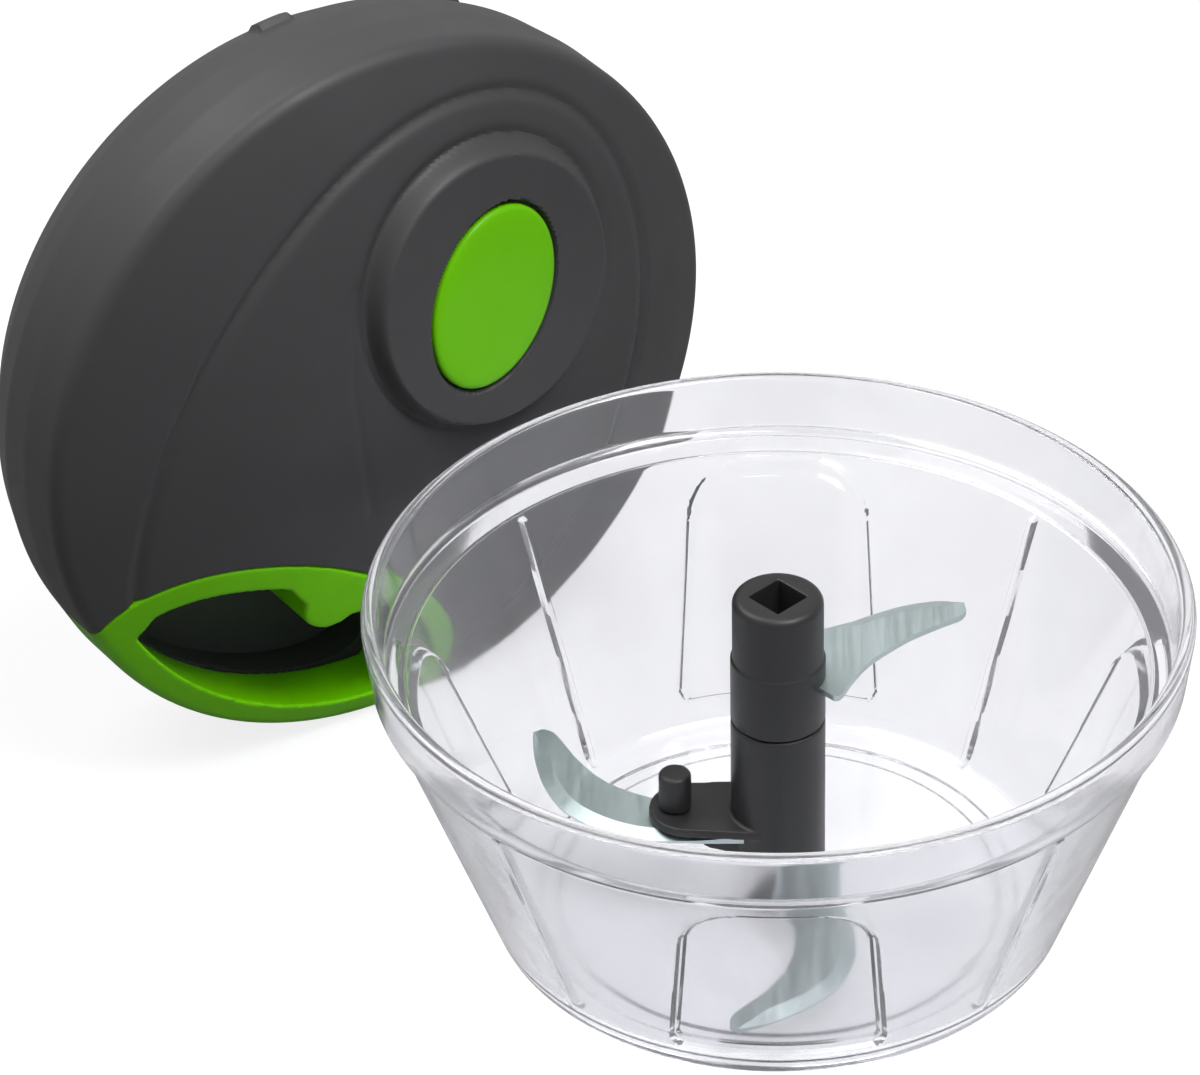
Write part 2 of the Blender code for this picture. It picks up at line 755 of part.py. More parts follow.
def build_blades():
    middle = blade_outline(MIDDLE_BLADE_REACH)
    lower = blade_outline(LOWER_BLADE_REACH)
    upper = upper_outline()
    piece = blade("blade_middle", middle, MIDDLE_BLADE_TOP)
    piece.rotation_euler.z = MIDDLE_BLADE_ANGLE
    hole = cylinder("blade_hole", STUD_SHANK_R + FIT, -OVERLAP - BLADE_THICK, OVERLAP)
    hole.location = stud_place(MIDDLE_BLADE_TOP)
    cut(piece, hole)
    blade("blade_lower", lower, LOWER_BLADE_TOP).rotation_euler.z = LOWER_BLADE_ANGLE
    blade("blade_upper", upper, UPPER_BLADE_TOP)
    build_shaft(middle, lower)
    build_cap(upper)
    build_stud()


def stud_place(height):
    return (
        STUD_REACH * math.cos(MIDDLE_BLADE_ANGLE),
        STUD_REACH * math.sin(MIDDLE_BLADE_ANGLE),
        height,
    )


def build_shaft(middle, lower):
    pin_room = PIN_TOP + 2 * FIT
    bush_room = BUSH_BOTTOM + BUSH_LENGTH + FIT
    spigot_floor = CAP_BOTTOM - SPIGOT_LENGTH - FIT
    profile = [
        (0, spigot_floor),
        (SPIGOT_R + FIT, spigot_floor),
        (SPIGOT_R + FIT, SHAFT_SEAM),
        (SHAFT_R, SHAFT_SEAM),
        (SHAFT_R, SHAFT_FOOT),
        (SHAFT_BORE_R, SHAFT_FOOT),
        (SHAFT_BORE_R, bush_room),
        (PIN_HOLE_R, bush_room),
        (PIN_HOLE_R, pin_room),
        (0, pin_room),
    ]
    shaft = turned("blade_shaft", profile, MEDIUM_FACET_COUNT)
    finish_part(shaft, SHAFT_GREY)
    sleeve_top = ARM_TOP + OVERLAP
    sleeve_foot = LIP_TOP - LIP_THICK - OVERLAP
    sleeve = [
        (SHAFT_R - OVERLAP, sleeve_top),
        (ARM_REACH + ARM_DISC_R + OVERLAP, sleeve_top),
        (ARM_REACH + ARM_DISC_R + OVERLAP, sleeve_foot),
        (SHAFT_R - OVERLAP, sleeve_foot),
    ]
    arms = (
        ("arm", ARM_REACH, ARM_DISC_R, ARM_BOTTOM, ARM_TOP),
        ("lip", LIP_REACH, LIP_DISC_R, LIP_TOP - LIP_THICK, LIP_TOP),
    )
    for name, reach, disc_r, bottom, top in arms:
        arm = stand_arm(name, reach, disc_r, bottom, top)
        keep(arm, turned(name + "_sleeve", sleeve, MEDIUM_FACET_COUNT))
        add(shaft, arm)
    hole = cylinder("stud_hole", STUD_SHANK_R + FIT, ARM_BOTTOM - OVERLAP, ARM_TOP + OVERLAP)
    hole.location = stud_place(0)
    cut(shaft, hole)
    for name, pieces, top, angle in (
        ("middle_slot", middle, MIDDLE_BLADE_TOP, MIDDLE_BLADE_ANGLE),
        ("lower_slot", lower, LOWER_BLADE_TOP, LOWER_BLADE_ANGLE),
    ):
        slot = blade_slot(name, pieces, top)
        slot.rotation_euler.z = angle
        cut(shaft, slot)


def build_cap(upper):
    profile = rounded([
        (0, SHAFT_TOP),
        (CAP_TOP_R, SHAFT_TOP, CAP_EDGE),
        (CAP_TOP_R, CAP_STEP),
        (SHAFT_R, CAP_STEP - (SHAFT_R - CAP_TOP_R)),
        (SHAFT_R, CAP_BOTTOM),
        (SPIGOT_R, CAP_BOTTOM),
        (SPIGOT_R, CAP_BOTTOM - SPIGOT_LENGTH),
        (0, CAP_BOTTOM - SPIGOT_LENGTH),
    ])
    cap = turned("shaft_cap", profile, MEDIUM_FACET_COUNT)
    finish_part(cap, SHAFT_GREY)
    socket = square_bar(
        "drive_socket", SOCKET_SQUARE, SHAFT_TOP - SOCKET_DEPTH, SHAFT_TOP + OVERLAP)
    socket.rotation_euler.z = math.radians(45.0)
    cut(cap, socket)
    cut(cap, blade_slot("upper_slot", upper, UPPER_BLADE_TOP))


def build_stud():
    peg_bottom = ARM_TOP + FIT
    tail_top = MIDDLE_BLADE_TOP - BLADE_THICK - FIT
    profile = rounded([
        (0, peg_bottom + STUD_PEG_HEIGHT),
        (STUD_PEG_R, peg_bottom + STUD_PEG_HEIGHT, STUD_PEG_R / 4),
        (STUD_PEG_R, peg_bottom),
        (STUD_SHANK_R, peg_bottom),
        (STUD_SHANK_R, tail_top),
        (STUD_TAIL_R, tail_top),
        (STUD_TAIL_R, tail_top - STUD_TAIL_THICK),
        (0, tail_top - STUD_TAIL_THICK),
    ])
    stud = turned("blade_stud", profile, SMALL_FACET_COUNT)
    stud.location = stud_place(0)
    finish_part(stud, SHAFT_GREY)


# Lid

def dome_height(radius, inward=0.0):
    sphere = DOME_R - inward
    return DOME_APEX - DOME_R + math.sqrt(sphere * sphere - radius * radius)


def cover_side(inward, lowest):
    """Outside of the cover, moved inwards, from the top of the dome down its side."""
    side_r = BARREL_R - inward
    dome_end = side_r - 2 * SHOULDER_R
    corners = []
    rings = DOME_RING_COUNT if inward == 0.0 else DOME_RING_COUNT // 2
    for index in range(rings + 1):
        radius = dome_end * index / rings
        corners.append((radius, dome_height(radius, inward)))
    corners.append((side_r, dome_height(side_r, inward), SHOULDER_R))
    corners.append((side_r, BARREL_TOP))
    corners.append((side_r, BARREL_FOOT))
    for radius, height in ((SKIRT_MID_R, SKIRT_MID), (SKIRT_LOW_R, SKIRT_LOW)):
        if height > lowest:
            corners.append((radius - inward, height))
    return corners


def build_top_cover(lid):
    outside = rounded(cover_side(0.0, 0.0))
    inside = rounded(cover_side(COVER_WALL, POST_BOTTOM + OVERLAP))
    mouth = [(SKIRT_R, 0), (SKIRT_BORE_R, 0), (SKIRT_BORE_R, POST_BOTTOM)]
    cover = turned("top_cover", outside + mouth + inside[::-1], LARGE_FACET_COUNT)
    finish_part(cover, SHELL_GREY, lid)
    add_lugs(cover, lid)
    add_boss(cover, lid)
    cut(cover, surface_groove("horseshoe_groove", horseshoe_route()), lid)
    add_pocket(cover, lid)
    add_posts(cover, lid)


def sector(inner_r, outer_r, middle, spread):
    half = spread / 2
    outer = arc((0, 0), outer_r, middle - half, middle + half, 4)
    inner = arc((0, 0), inner_r, middle + half, middle - half, 4)
    return outer + inner


def add_lugs(cover, lid):
    inner_r = SKIRT_BORE_R + OVERLAP
    for side in (0.0, math.pi):
        for angle, spread in ((LUG_WIDE_ANGLE, LUG_WIDE), (LUG_NARROW_ANGLE, LUG_NARROW)):
            outline = sector(inner_r, LUG_R, angle + side, spread)
            add(cover, plate("lug", outline, LUG_BOTTOM, LUG_TOP), lid)


def boss_frame():
    """Frame of the boss: on the dome behind the centre, leaning away from the handle."""
    height = dome_height(BOSS_BACK) + BOSS_PROUD
    return Matrix.Translation((0, BOSS_BACK, height)) @ Matrix.Rotation(-BOSS_TILT, 4, "X")


def add_boss(cover, lid):
    profile = rounded([
        (0, 0),
        (BOSS_R, 0, BOSS_EDGE),
        (BOSS_R, -BOSS_ROOT),
        (0, -BOSS_ROOT),
    ])
    boss = turned("boss", profile, MEDIUM_FACET_COUNT)
    boss.matrix_local = boss_frame()
    add(cover, boss, lid)
    route = []
    ring = arc((0, BOSS_BACK), BOSS_R + BOSS_GROOVE_GAP, 0, math.tau, OVAL_FACET_COUNT)
    for point in ring[:-1]:
        route.append(on_dome(point))
    cut(cover, tube("boss_groove", route, GROOVE_R, 0, closed=True), lid)
    seat = plate("insert_seat", insert_outline(FIT), -INSERT_DEPTH - FIT, REACH)
    seat.matrix_local = boss_frame() @ seat.matrix_local
    cut(cover, seat, lid)


def insert_outline(gap):
    return ellipse_arc(
        (0, -INSERT_FORWARD), INSERT_HALF_WIDE + gap, INSERT_HALF_LONG + gap,
        0, math.tau, OVAL_FACET_COUNT)[:-1]


def build_insert(lid):
    insert = plate("oval_insert", insert_outline(0.0), -INSERT_DEPTH, INSERT_PROUD)
    insert.matrix_local = boss_frame() @ insert.matrix_local
    finish_part(insert, GREEN, lid)
    round_edges(insert, INSERT_EDGE)


def round_edges(part, width):
    bevel = part.modifiers.new("Edges", "BEVEL")
    bevel.width = width
    bevel.segments = 2
    bevel.limit_method = "ANGLE"
    bevel.angle_limit = math.radians(50.0)


def on_dome(point):
    """Centre of a groove cutter over a point of the dome, for the groove's depth."""
    height = dome_height(point.length) + GROOVE_R - GROOVE_DEPTH
    return (point.x, point.y, height)


def horseshoe_route():
    start = -math.pi / 2 + HORSESHOE_OPEN
    return ellipse_arc(
        (0, -HORSESHOE_CENTRE), HORSESHOE_HALF_WIDE, HORSESHOE_HALF_LONG,
        start, start + math.tau - 2 * HORSESHOE_OPEN, HORSESHOE_FACET_COUNT)


def surface_groove(name, route):
    return tube(name, [on_dome(point) for point in route], GROOVE_R, 0)


def pocket_outline(gap):
    """D of the pocket, grown by a gap: half an ellipse, then straight out of the side."""
    out = -BARREL_R - REACH
    curve = ellipse_arc(
        (0, -POCKET_CENTRE), POCKET_HALF_WIDE + gap, POCKET_HALF_LONG + gap,
        0, math.pi, POCKET_FACET_COUNT)
    return curve + [Vector((-POCKET_HALF_WIDE - gap, out)), Vector((POCKET_HALF_WIDE + gap, out))]


def cover_block(name, inward, lowest):
    """Solid of the cover's outer form, moved inwards."""
    outline = rounded(cover_side(inward, lowest))
    foot = min(point[1] for point in outline)
    return turned(name, outline + [(0, foot)], LARGE_FACET_COUNT)


def add_pocket(cover, lid):
    walls = plate(
        "pocket_walls", pocket_outline(COVER_WALL), POCKET_FLOOR - COVER_WALL, DOME_APEX + REACH)
    keep(walls, cover_block("cover_core", COVER_WALL / 2, SKIRT_LOW - OVERLAP), lid)
    add(cover, walls, lid)
    pocket = plate("pocket", pocket_outline(0.0), POCKET_FLOOR, DOME_APEX + REACH)
    cut(cover, pocket, lid)
    walls = recess_block(
        "recess_walls", RECESS_WALL, RECESS_FLOOR - COVER_WALL, POCKET_FLOOR - COVER_WALL / 2)
    add(cover, walls, lid)
    cut(cover, recess_block("finger_recess", 0.0, RECESS_FLOOR, POCKET_FLOOR + OVERLAP), lid)
    hole = cylinder("guide_hole", GUIDE_BARREL_R + FIT, 0, POCKET_NEAR + OVERLAP)
    hole.location.z = CORD_LEVEL
    hole.rotation_euler.x = math.radians(90.0)
    cut(cover, shortened_hole(hole), lid)


def recess_block(name, gap, bottom, top):
    """Oval room for the fingers under the hole in the handle, grown by a gap."""
    outline = ellipse_arc(
        (0, -RECESS_CENTRE), RECESS_HALF_WIDE + gap, RECESS_HALF_LONG + gap,
        0, math.tau, POCKET_FACET_COUNT)[:-1]
    return plate(name, outline, bottom, top)


def shortened_hole(hole):
    """Keep only the end of the guide hole that runs through the pocket wall."""
    near = POCKET_NEAR - COVER_WALL - OVERLAP
    for vert in hole.data.vertices:
        if vert.co.z < near:
            vert.co.z = near
    return hole


def add_posts(cover, lid):
    top = dome_height(COVER_POST_RING + COVER_POST_R, COVER_WALL / 2)
    post = cylinder("post", COVER_POST_R, POST_BOTTOM, top, SCREW_FACET_COUNT)
    places = ring_places(COVER_POST_RING, COVER_POST_ANGLES, forward=True)
    add(cover, copies("cover_posts", post, places), lid)
    hole = cylinder(
        "hole", SCREW_HOLE_R, POST_BOTTOM - OVERLAP, POST_BOTTOM + COVER_SCREW_LENGTH, SCREW_FACET_COUNT)
    cut(cover, copies("cover_screw_holes", hole, places), lid)


def build_base_cover(lid):
    slope = BASE_THICK / 2
    profile = [
        (SPINDLE_BUSH_R + FIT, CEILING_TOP),
        (WELL_R + WELL_WALL, CEILING_TOP),
        (WELL_R + WELL_WALL, DISH_TOP),
        (BASE_DISH_R + slope, DISH_TOP),
        (BASE_RIM_IN_R + slope, BASE_RIM_TOP),
        (BASE_R, BASE_RIM_TOP),
        (BASE_R, BASE_RIM_BOTTOM),
        (BASE_RIM_IN_R - slope, BASE_RIM_BOTTOM),
        (BASE_DISH_R - slope, BASE_DISH),
        (WELL_R, BASE_DISH),
        (WELL_R, WELL_TOP),
        (SPINDLE_BUSH_R + FIT, WELL_TOP),
    ]
    base = turned("base_cover", profile, LARGE_FACET_COUNT)
    finish_part(base, BASE_GREY, lid)
    pillar = cylinder("pillar", PILLAR_R, DISH_TOP - OVERLAP, PILLAR_TOP, SCREW_FACET_COUNT)
    pillar_places = ring_places(PILLAR_RING, PILLAR_ANGLES, forward=True)
    add(base, copies("pillars", pillar, pillar_places), lid)
    hole = cylinder(
        "hole", SCREW_HOLE_R, PILLAR_TOP - HOUSING_SCREW_LENGTH, PILLAR_TOP + OVERLAP, SCREW_FACET_COUNT)
    cut(base, copies("pillar_holes", hole, pillar_places), lid)
    hole = cylinder(
        "hole", SCREW_HOLE_R, BASE_RIM_BOTTOM - OVERLAP, BASE_RIM_TOP + OVERLAP, SCREW_FACET_COUNT)
    post_places = ring_places(COVER_POST_RING, COVER_POST_ANGLES, forward=True)
    cut(base, copies("rim_holes", hole, post_places), lid)


def screw_profile(length):
    """Screw standing head up: the underside of its head is at height zero."""
    return rounded([
        (0, SCREW_HEAD),
        (SCREW_HEAD_R, SCREW_HEAD, SCREW_HEAD / 3),
        (SCREW_HEAD_R, 0),
        (SCREW_R, 0),
        (SCREW_R, -length),
        (0, -length - SCREW_R / 2),
    ], steps=2)


def place_screws(name, length, places, lid):
    """Screws of one length, each its own object on the same mesh."""
    base = plain_mesh(turned(name, screw_profile(length), SCREW_FACET_COUNT))
    base.data.materials.append(BRIGHT_STEEL)
    for number, place in enumerate(places, start=1):
        screw = bpy.data.objects.new(f"{name}_{number}", base.data)
        PARTS.objects.link(screw)
        screw.parent = lid
        screw.matrix_local = place
    bpy.data.objects.remove(base, do_unlink=True)


def build_screws(lid):
    flip = Matrix.Rotation(math.pi, 4, "X")
    seat = Matrix.Translation((0, 0, BASE_RIM_BOTTOM - FIT))
    places = ring_places(COVER_POST_RING, COVER_POST_ANGLES, forward=True)
    place_screws(
        "cover_screw", COVER_SCREW_LENGTH, [seat @ place @ flip for place in places], lid)
    seat = Matrix.Translation((0, 0, HOUSING_BOTTOM + EAR_THICK + FIT))
    places = ring_places(PILLAR_RING, PILLAR_ANGLES, forward=True)
    place_screws("housing_screw", HOUSING_SCREW_LENGTH, [seat @ place for place in places], lid)


def build_spindle(lid):
    profile = [
        (SPINDLE_BUSH_BORE_R, BUSH_FLANGE_TOP),
        (SPINDLE_BUSH_FLANGE_R, BUSH_FLANGE_TOP),
        (SPINDLE_BUSH_FLANGE_R, CEILING_TOP + FIT),
        (SPINDLE_BUSH_R, CEILING_TOP + FIT),
        (SPINDLE_BUSH_R, WELL_TOP),
        (SPINDLE_BUSH_BORE_R, WELL_TOP),
    ]
    finish_part(turned("spindle_bush", profile, SMALL_FACET_COUNT), BEARING_WHITE, lid)
    profile = [
        (0, COLLAR_TOP),
        (COLLAR_R, COLLAR_TOP),
        (COLLAR_R, COLLAR_BOTTOM),
        (JOURNAL_R, COLLAR_BOTTOM),
        (JOURNAL_R, WELL_TOP - FIT),
        (0, WELL_TOP - FIT),
    ]
    spindle = turned("drive_spindle", profile, SMALL_FACET_COUNT)
    finish_part(spindle, BRIGHT_STEEL, lid)
    lower = square_bar("drive_end", DRIVE_SQUARE, WELL_TOP - DRIVE_LENGTH, WELL_TOP + OVERLAP)
    add(spindle, lower, lid)
    upper = square_bar("reel_end", REEL_SQUARE, COLLAR_TOP - OVERLAP / 2, REEL_SQUARE_TOP)
    add(spindle, upper, lid)
    hole_bottom = HUB_TOP - REEL_SCREW_LENGTH - 2 * SCREW_R
    hole = cylinder("hole", SCREW_HOLE_R, hole_bottom, REEL_SQUARE_TOP + OVERLAP, SCREW_FACET_COUNT)
    cut(spindle, hole, lid)


def build_reel(lid):
    profile = [
        (0, HUB_TOP),
        (HUB_R, HUB_TOP),
        (HUB_R, REEL_TOP),
        (REEL_FLANGE_R, REEL_TOP),
        (REEL_FLANGE_R, DRUM_TOP),
        (DRUM_R, DRUM_TOP),
        (DRUM_R, DRUM_BOTTOM),
        (REEL_FLANGE_R, DRUM_BOTTOM),
        (REEL_FLANGE_R, REEL_BOTTOM),
        (0, REEL_BOTTOM),
    ]
    reel = turned("cord_reel", profile, MEDIUM_FACET_COUNT)
    finish_part(reel, REEL_WHITE, lid)
    bore = square_bar(
        "reel_bore", REEL_SQUARE + 2 * FIT, REEL_BOTTOM - OVERLAP, REEL_SQUARE_TOP + FIT)
    cut(reel, bore, lid)
    hole = cylinder("hole", SCREW_HOLE_R, REEL_SQUARE_TOP, HUB_TOP + OVERLAP, SCREW_FACET_COUNT)
    cut(reel, hole, lid)
    screw = turned("reel_screw", screw_profile(REEL_SCREW_LENGTH), SCREW_FACET_COUNT)
    screw.location.z = HUB_TOP + FIT
    finish_part(screw, BRIGHT_STEEL, lid)
    profile = [
        (DRUM_R + FIT, DRUM_TOP - FIT),
        (WOUND_R, DRUM_TOP - FIT),
        (WOUND_R, DRUM_BOTTOM + FIT),
        (DRUM_R + FIT, DRUM_BOTTOM + FIT),
    ]
    finish_part(turned("reel_cord", profile, MEDIUM_FACET_COUNT), CORD_WHITE, lid)


def build_recoil(lid):
    """Flat spiral spring in a cup that is screwed over the reel."""
    curve = bpy.data.curves.new("recoil_spring", "CURVE")
    curve.dimensions = "3D"
    curve.extrude = SPRING_HEIGHT / 2
    spline = curve.splines.new("POLY")
    count = SPRING_TURN_COUNT * SPRING_FACET_COUNT + 1
    spline.points.add(count - 1)
    for index, point in enumerate(spline.points):
        radius = SPRING_IN_R + (SPRING_OUT_R - SPRING_IN_R) * index / (count - 1)
        angle = math.tau * index / SPRING_FACET_COUNT
        point.co = (radius * math.cos(angle), radius * math.sin(angle), 0, 1)
    source = bpy.data.objects.new("recoil_spring", curve)
    source.location.z = SPRING_BOTTOM + SPRING_HEIGHT / 2
    spring = plain_mesh(source)
    finish_part(spring, SPRING_STEEL, lid)
    strip = spring.modifiers.new("Strip", "SOLIDIFY")
    strip.thickness = SPRING_STRIP
    strip.offset = 0
    roof = HOUSING_ROOF + HOUSING_WALL
    profile = [
        (HUB_R + FIT, roof),
        (HOUSING_R, roof),
        (HOUSING_R, HOUSING_BOTTOM),
        (HOUSING_IN_R, HOUSING_BOTTOM),
        (HOUSING_IN_R, HOUSING_ROOF),
        (HUB_R + FIT, HOUSING_ROOF),
    ]
    housing = turned("spring_housing", profile, MEDIUM_FACET_COUNT)
    finish_part(housing, BASE_GREY, lid)
    ear = arc((PILLAR_RING, 0), PILLAR_R, -math.pi / 2, math.pi / 2, HOLE_SIDE_FACET_COUNT)
    inner = HOUSING_IN_R + HOUSING_WALL / 2
    ear += [Vector((inner, PILLAR_R)), Vector((inner, -PILLAR_R))]
    source = plate("ear", ear, HOUSING_BOTTOM + FIT / 2, HOUSING_BOTTOM + EAR_THICK)
    places = ring_places(0.0, PILLAR_ANGLES, forward=True)
    add(housing, copies("ears", source, places), lid)
    hole = cylinder(
        "hole", SCREW_HOLE_R, HOUSING_BOTTOM - OVERLAP, HOUSING_BOTTOM + EAR_THICK + OVERLAP,
        SCREW_FACET_COUNT)
    places = ring_places(PILLAR_RING, PILLAR_ANGLES, forward=True)
    cut(housing, copies("ear_holes", hole, places), lid)


def build_cord_guide(lid):
    """Eyelet in the pocket wall, its flared mouth towards the reel."""
    mouth = GUIDE_FLANGE_FACE - GUIDE_FLANGE
    end = POCKET_NEAR - FIT
    profile = [
        (CORD_HOLE_R, end),
        (GUIDE_BARREL_R, end),
        (GUIDE_BARREL_R, GUIDE_FLANGE_FACE),
        (GUIDE_FLANGE_R, GUIDE_FLANGE_FACE),
        (GUIDE_FLANGE_R, mouth),
        (GUIDE_MOUTH_R, mouth),
        (CORD_HOLE_R, GUIDE_FLANGE_FACE),
    ]
    guide = turned("cord_guide", profile, SMALL_FACET_COUNT)
    guide.rotation_euler.x = math.radians(90.0)
    guide.location.z = CORD_LEVEL
    finish_part(guide, BRIGHT_STEEL, lid)


def finger_hole_outline():
    """Finger hole: a smaller D whose near side carries the round tab for the cord."""
    half_wide = POCKET_HALF_WIDE - HANDLE_BAR
    half_long = POCKET_HALF_LONG - HANDLE_BAR
    far_r = BARREL_R - HANDLE_RIM
    corner_x = half_wide - HANDLE_CORNER
    corner = math.acos(corner_x / half_wide)
    root = math.acos(TAB_ROOT / half_wide)
    centre = (0, -POCKET_CENTRE)
    right = ellipse_arc(centre, half_wide, half_long, corner, root, HOLE_SIDE_FACET_COUNT)
    left = [Vector((-point.x, point.y)) for point in reversed(right)]
    tab = arc((0, -TAB_CENTRE), TAB_R, -TAB_SLANT, TAB_SLANT - math.pi, TAB_FACET_COUNT)
    reach = math.asin(corner_x / far_r)
    start = -math.pi / 2 - reach
    far = arc((0, 0), far_r, start, start + 2 * reach, HOLE_FAR_FACET_COUNT)
    return right + tab + left + far


def build_handle(lid):
    bottom = POCKET_FLOOR + FIT
    handle = plate("pull_handle", pocket_outline(-FIT), bottom, DOME_APEX + REACH)
    finish_part(handle, GREEN, lid)
    keep(handle, cover_block("handle_form", 0.0, SKIRT_LOW - OVERLAP), lid)
    hole = plate(
        "finger_hole", finger_hole_outline(), POCKET_FLOOR - OVERLAP, DOME_APEX + 2 * REACH)
    cut(handle, hole, lid)
    run = cylinder("cord_run", CORD_HOLE_R, POCKET_NEAR - OVERLAP, TAB_CENTRE, SCREW_FACET_COUNT)
    run.rotation_euler.x = math.radians(90.0)
    run.location.z = CORD_LEVEL
    cut(handle, run, lid)
    chamber = cylinder("knot_chamber", KNOT_R + FIT, bottom - OVERLAP, CORD_LEVEL + KNOT_ROOM + FIT)
    chamber.location.y = -TAB_CENTRE
    cut(handle, chamber, lid)
    shape = bmesh.new()
    bmesh.ops.create_uvsphere(
        shape, u_segments=SCREW_FACET_COUNT, v_segments=KNOT_RING_COUNT, radius=KNOT_R)
    knot = from_bmesh("cord_knot", shape)
    knot.location = (0, -TAB_CENTRE, CORD_LEVEL - KNOT_R + KNOT_ROOM)
    finish_part(knot, CORD_WHITE, lid)


def cord_route():
    """Cord from the side of the wound reel, through the guide, to its knot in the handle."""
    leave_r = WOUND_R + FIT + CORD_R
    bend = Vector((0, -(GUIDE_FLANGE_FACE - GUIDE_FLANGE)))
    turn = math.acos(leave_r / bend.length)
    start = Vector((-leave_r * math.sin(turn), -leave_r * math.cos(turn)))
    before = bend + (start - bend).normalized() * CORD_EASE
    after = Vector((0, bend.y - CORD_EASE))
    end = Vector((0, -(TAB_CENTRE - KNOT_R - FIT)))
    steps = CORD_STEP_COUNT
    route = [start.lerp(before, index / steps) for index in range(steps)]
    for index in range(steps + 1):
        share = index / steps
        first = before.lerp(bend, share)
        route.append(first.lerp(bend.lerp(after, share), share))
    route += [after.lerp(end, index / steps) for index in range(1, steps + 1)]
    return [(point.x, point.y, CORD_LEVEL) for point in route]


def build_cord(lid):
    cord = tube("pull_cord", cord_route(), CORD_R, 2)
    finish_part(cord, CORD_WHITE, lid)


def build_lid():
    lid = bpy.data.objects.new("lid_frame", None)
    PARTS.objects.link(lid)
    lid.empty_display_size = BARREL_R
    lid.matrix_world = LID_FRAME
    build_top_cover(lid)
    build_insert(lid)
    build_base_cover(lid)
    build_screws(lid)
    build_spindle(lid)
    build_reel(lid)
    build_recoil(lid)
    build_cord_guide(lid)
    build_handle(lid)
    build_cord(lid)


build_bowl()
build_pivot()
build_blades()
build_lid()
bpy.context.view_layer.update()
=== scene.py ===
import math

import bmesh
import bpy
import numpy as np
from mathutils import Matrix, Vector


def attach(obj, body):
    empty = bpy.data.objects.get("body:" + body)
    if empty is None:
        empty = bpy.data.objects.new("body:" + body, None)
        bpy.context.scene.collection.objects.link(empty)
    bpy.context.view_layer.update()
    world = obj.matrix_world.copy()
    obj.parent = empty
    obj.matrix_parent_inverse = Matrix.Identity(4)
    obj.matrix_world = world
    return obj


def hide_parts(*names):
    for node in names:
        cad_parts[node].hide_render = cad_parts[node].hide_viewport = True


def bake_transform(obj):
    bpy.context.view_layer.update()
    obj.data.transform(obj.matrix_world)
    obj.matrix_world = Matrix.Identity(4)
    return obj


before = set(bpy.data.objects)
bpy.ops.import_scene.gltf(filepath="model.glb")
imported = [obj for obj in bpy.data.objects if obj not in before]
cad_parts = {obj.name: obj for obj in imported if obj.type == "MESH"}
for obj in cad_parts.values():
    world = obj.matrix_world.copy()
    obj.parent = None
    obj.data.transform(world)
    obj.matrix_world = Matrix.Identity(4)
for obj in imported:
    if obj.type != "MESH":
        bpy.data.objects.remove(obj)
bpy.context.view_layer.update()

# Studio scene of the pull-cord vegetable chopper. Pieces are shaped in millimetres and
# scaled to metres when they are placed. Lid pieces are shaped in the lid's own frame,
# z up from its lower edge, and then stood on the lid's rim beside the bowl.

MM = 0.001

# Sizes of the bowl, in millimetres
BOWL_HEIGHT = 55.2
BOWL_BASE_R = 43.7
BOWL_SHOULDER_R = 60.3
BOWL_WALL = 2.8
BOWL_FLOOR = 2.4
RIM_R = 62.5
RIM_TAPER = 1.2
RIM_WALL = 2.4
RIM_FOOT_Z = 45.8
LEDGE_Z = 44.9
FOOT_RING_OUTER_R = 37.0
FOOT_RING_INNER_R = 34.0
FOOT_RING_HIGH = 1.0
PIN_SEAT_TOP = 5.7
PIN_SEAT_R = 4.0
PIN_R = 2.3
PIN_FOOT = 1.2
PANEL_FOOT_Z = 5.5
PANEL_HEAD_Z = RIM_FOOT_Z - 4.3
PANEL_FOOT_HALF = 16.0
PANEL_HEAD_HALF = 14.0
PANEL_HEAD_CORNER = 9.0
PANEL_DEPTH = 1.0
PANEL_SOFT = 0.25
PANEL_INSET = 1.1
PANEL_SIDE_TURN = math.radians(18.0)
SMALLEST_WALL_R = 43.0
FLOOR_EDGE_R = 34.5
RIB_PROUD = 1.2
RIB_HALF = 0.6
RIB_TOP = 42.9
WALL_GRID = 0.4

# Sizes of the blade tower, in millimetres
SHAFT_R = 7.2
SHAFT_BORE_R = 5.0
SHAFT_FOOT = 3.0
SHAFT_TOP = 34.0
BORE_TOP = 13.0
# Each arm: reach, radius of its end, bottom and top
MIDDLE_ARM = (13.7, 6.0, 15.3, 16.8)
LOWER_ARM = (9.0, 3.0, 10.7, 13.7)
ARM_ROOT_R = 7.0
CAP_FOOT = 34.3
CAP_TOP = 56.3
CAP_R = 6.9
CAP_STEP_HIGH = 45.5
CAP_STEP_LOW = 45.1
SOCKET_HALF = 3.1
SOCKET_FLOOR = 47.3
STUD_X = -15.7
GROUND_WIDTH = 2.3
BLADE_THICK = 1.0
LIP_LEFT = 0.04
LIP_DROP = 0.72
UPPER_TOP = 42.0
MIDDLE_TOP = 15.0
LOWER_TOP = 8.0
LOWER_TURN = math.radians(291.0)
LOWER_SCALE = 41.0 / 43.6

# Sizes of the lid, in millimetres
DOME_APEX = 42.2
DOME_R = 132.0
BARREL_R = 59.8
BARREL_FOOT = 19.0
BARREL_TOP = 24.0
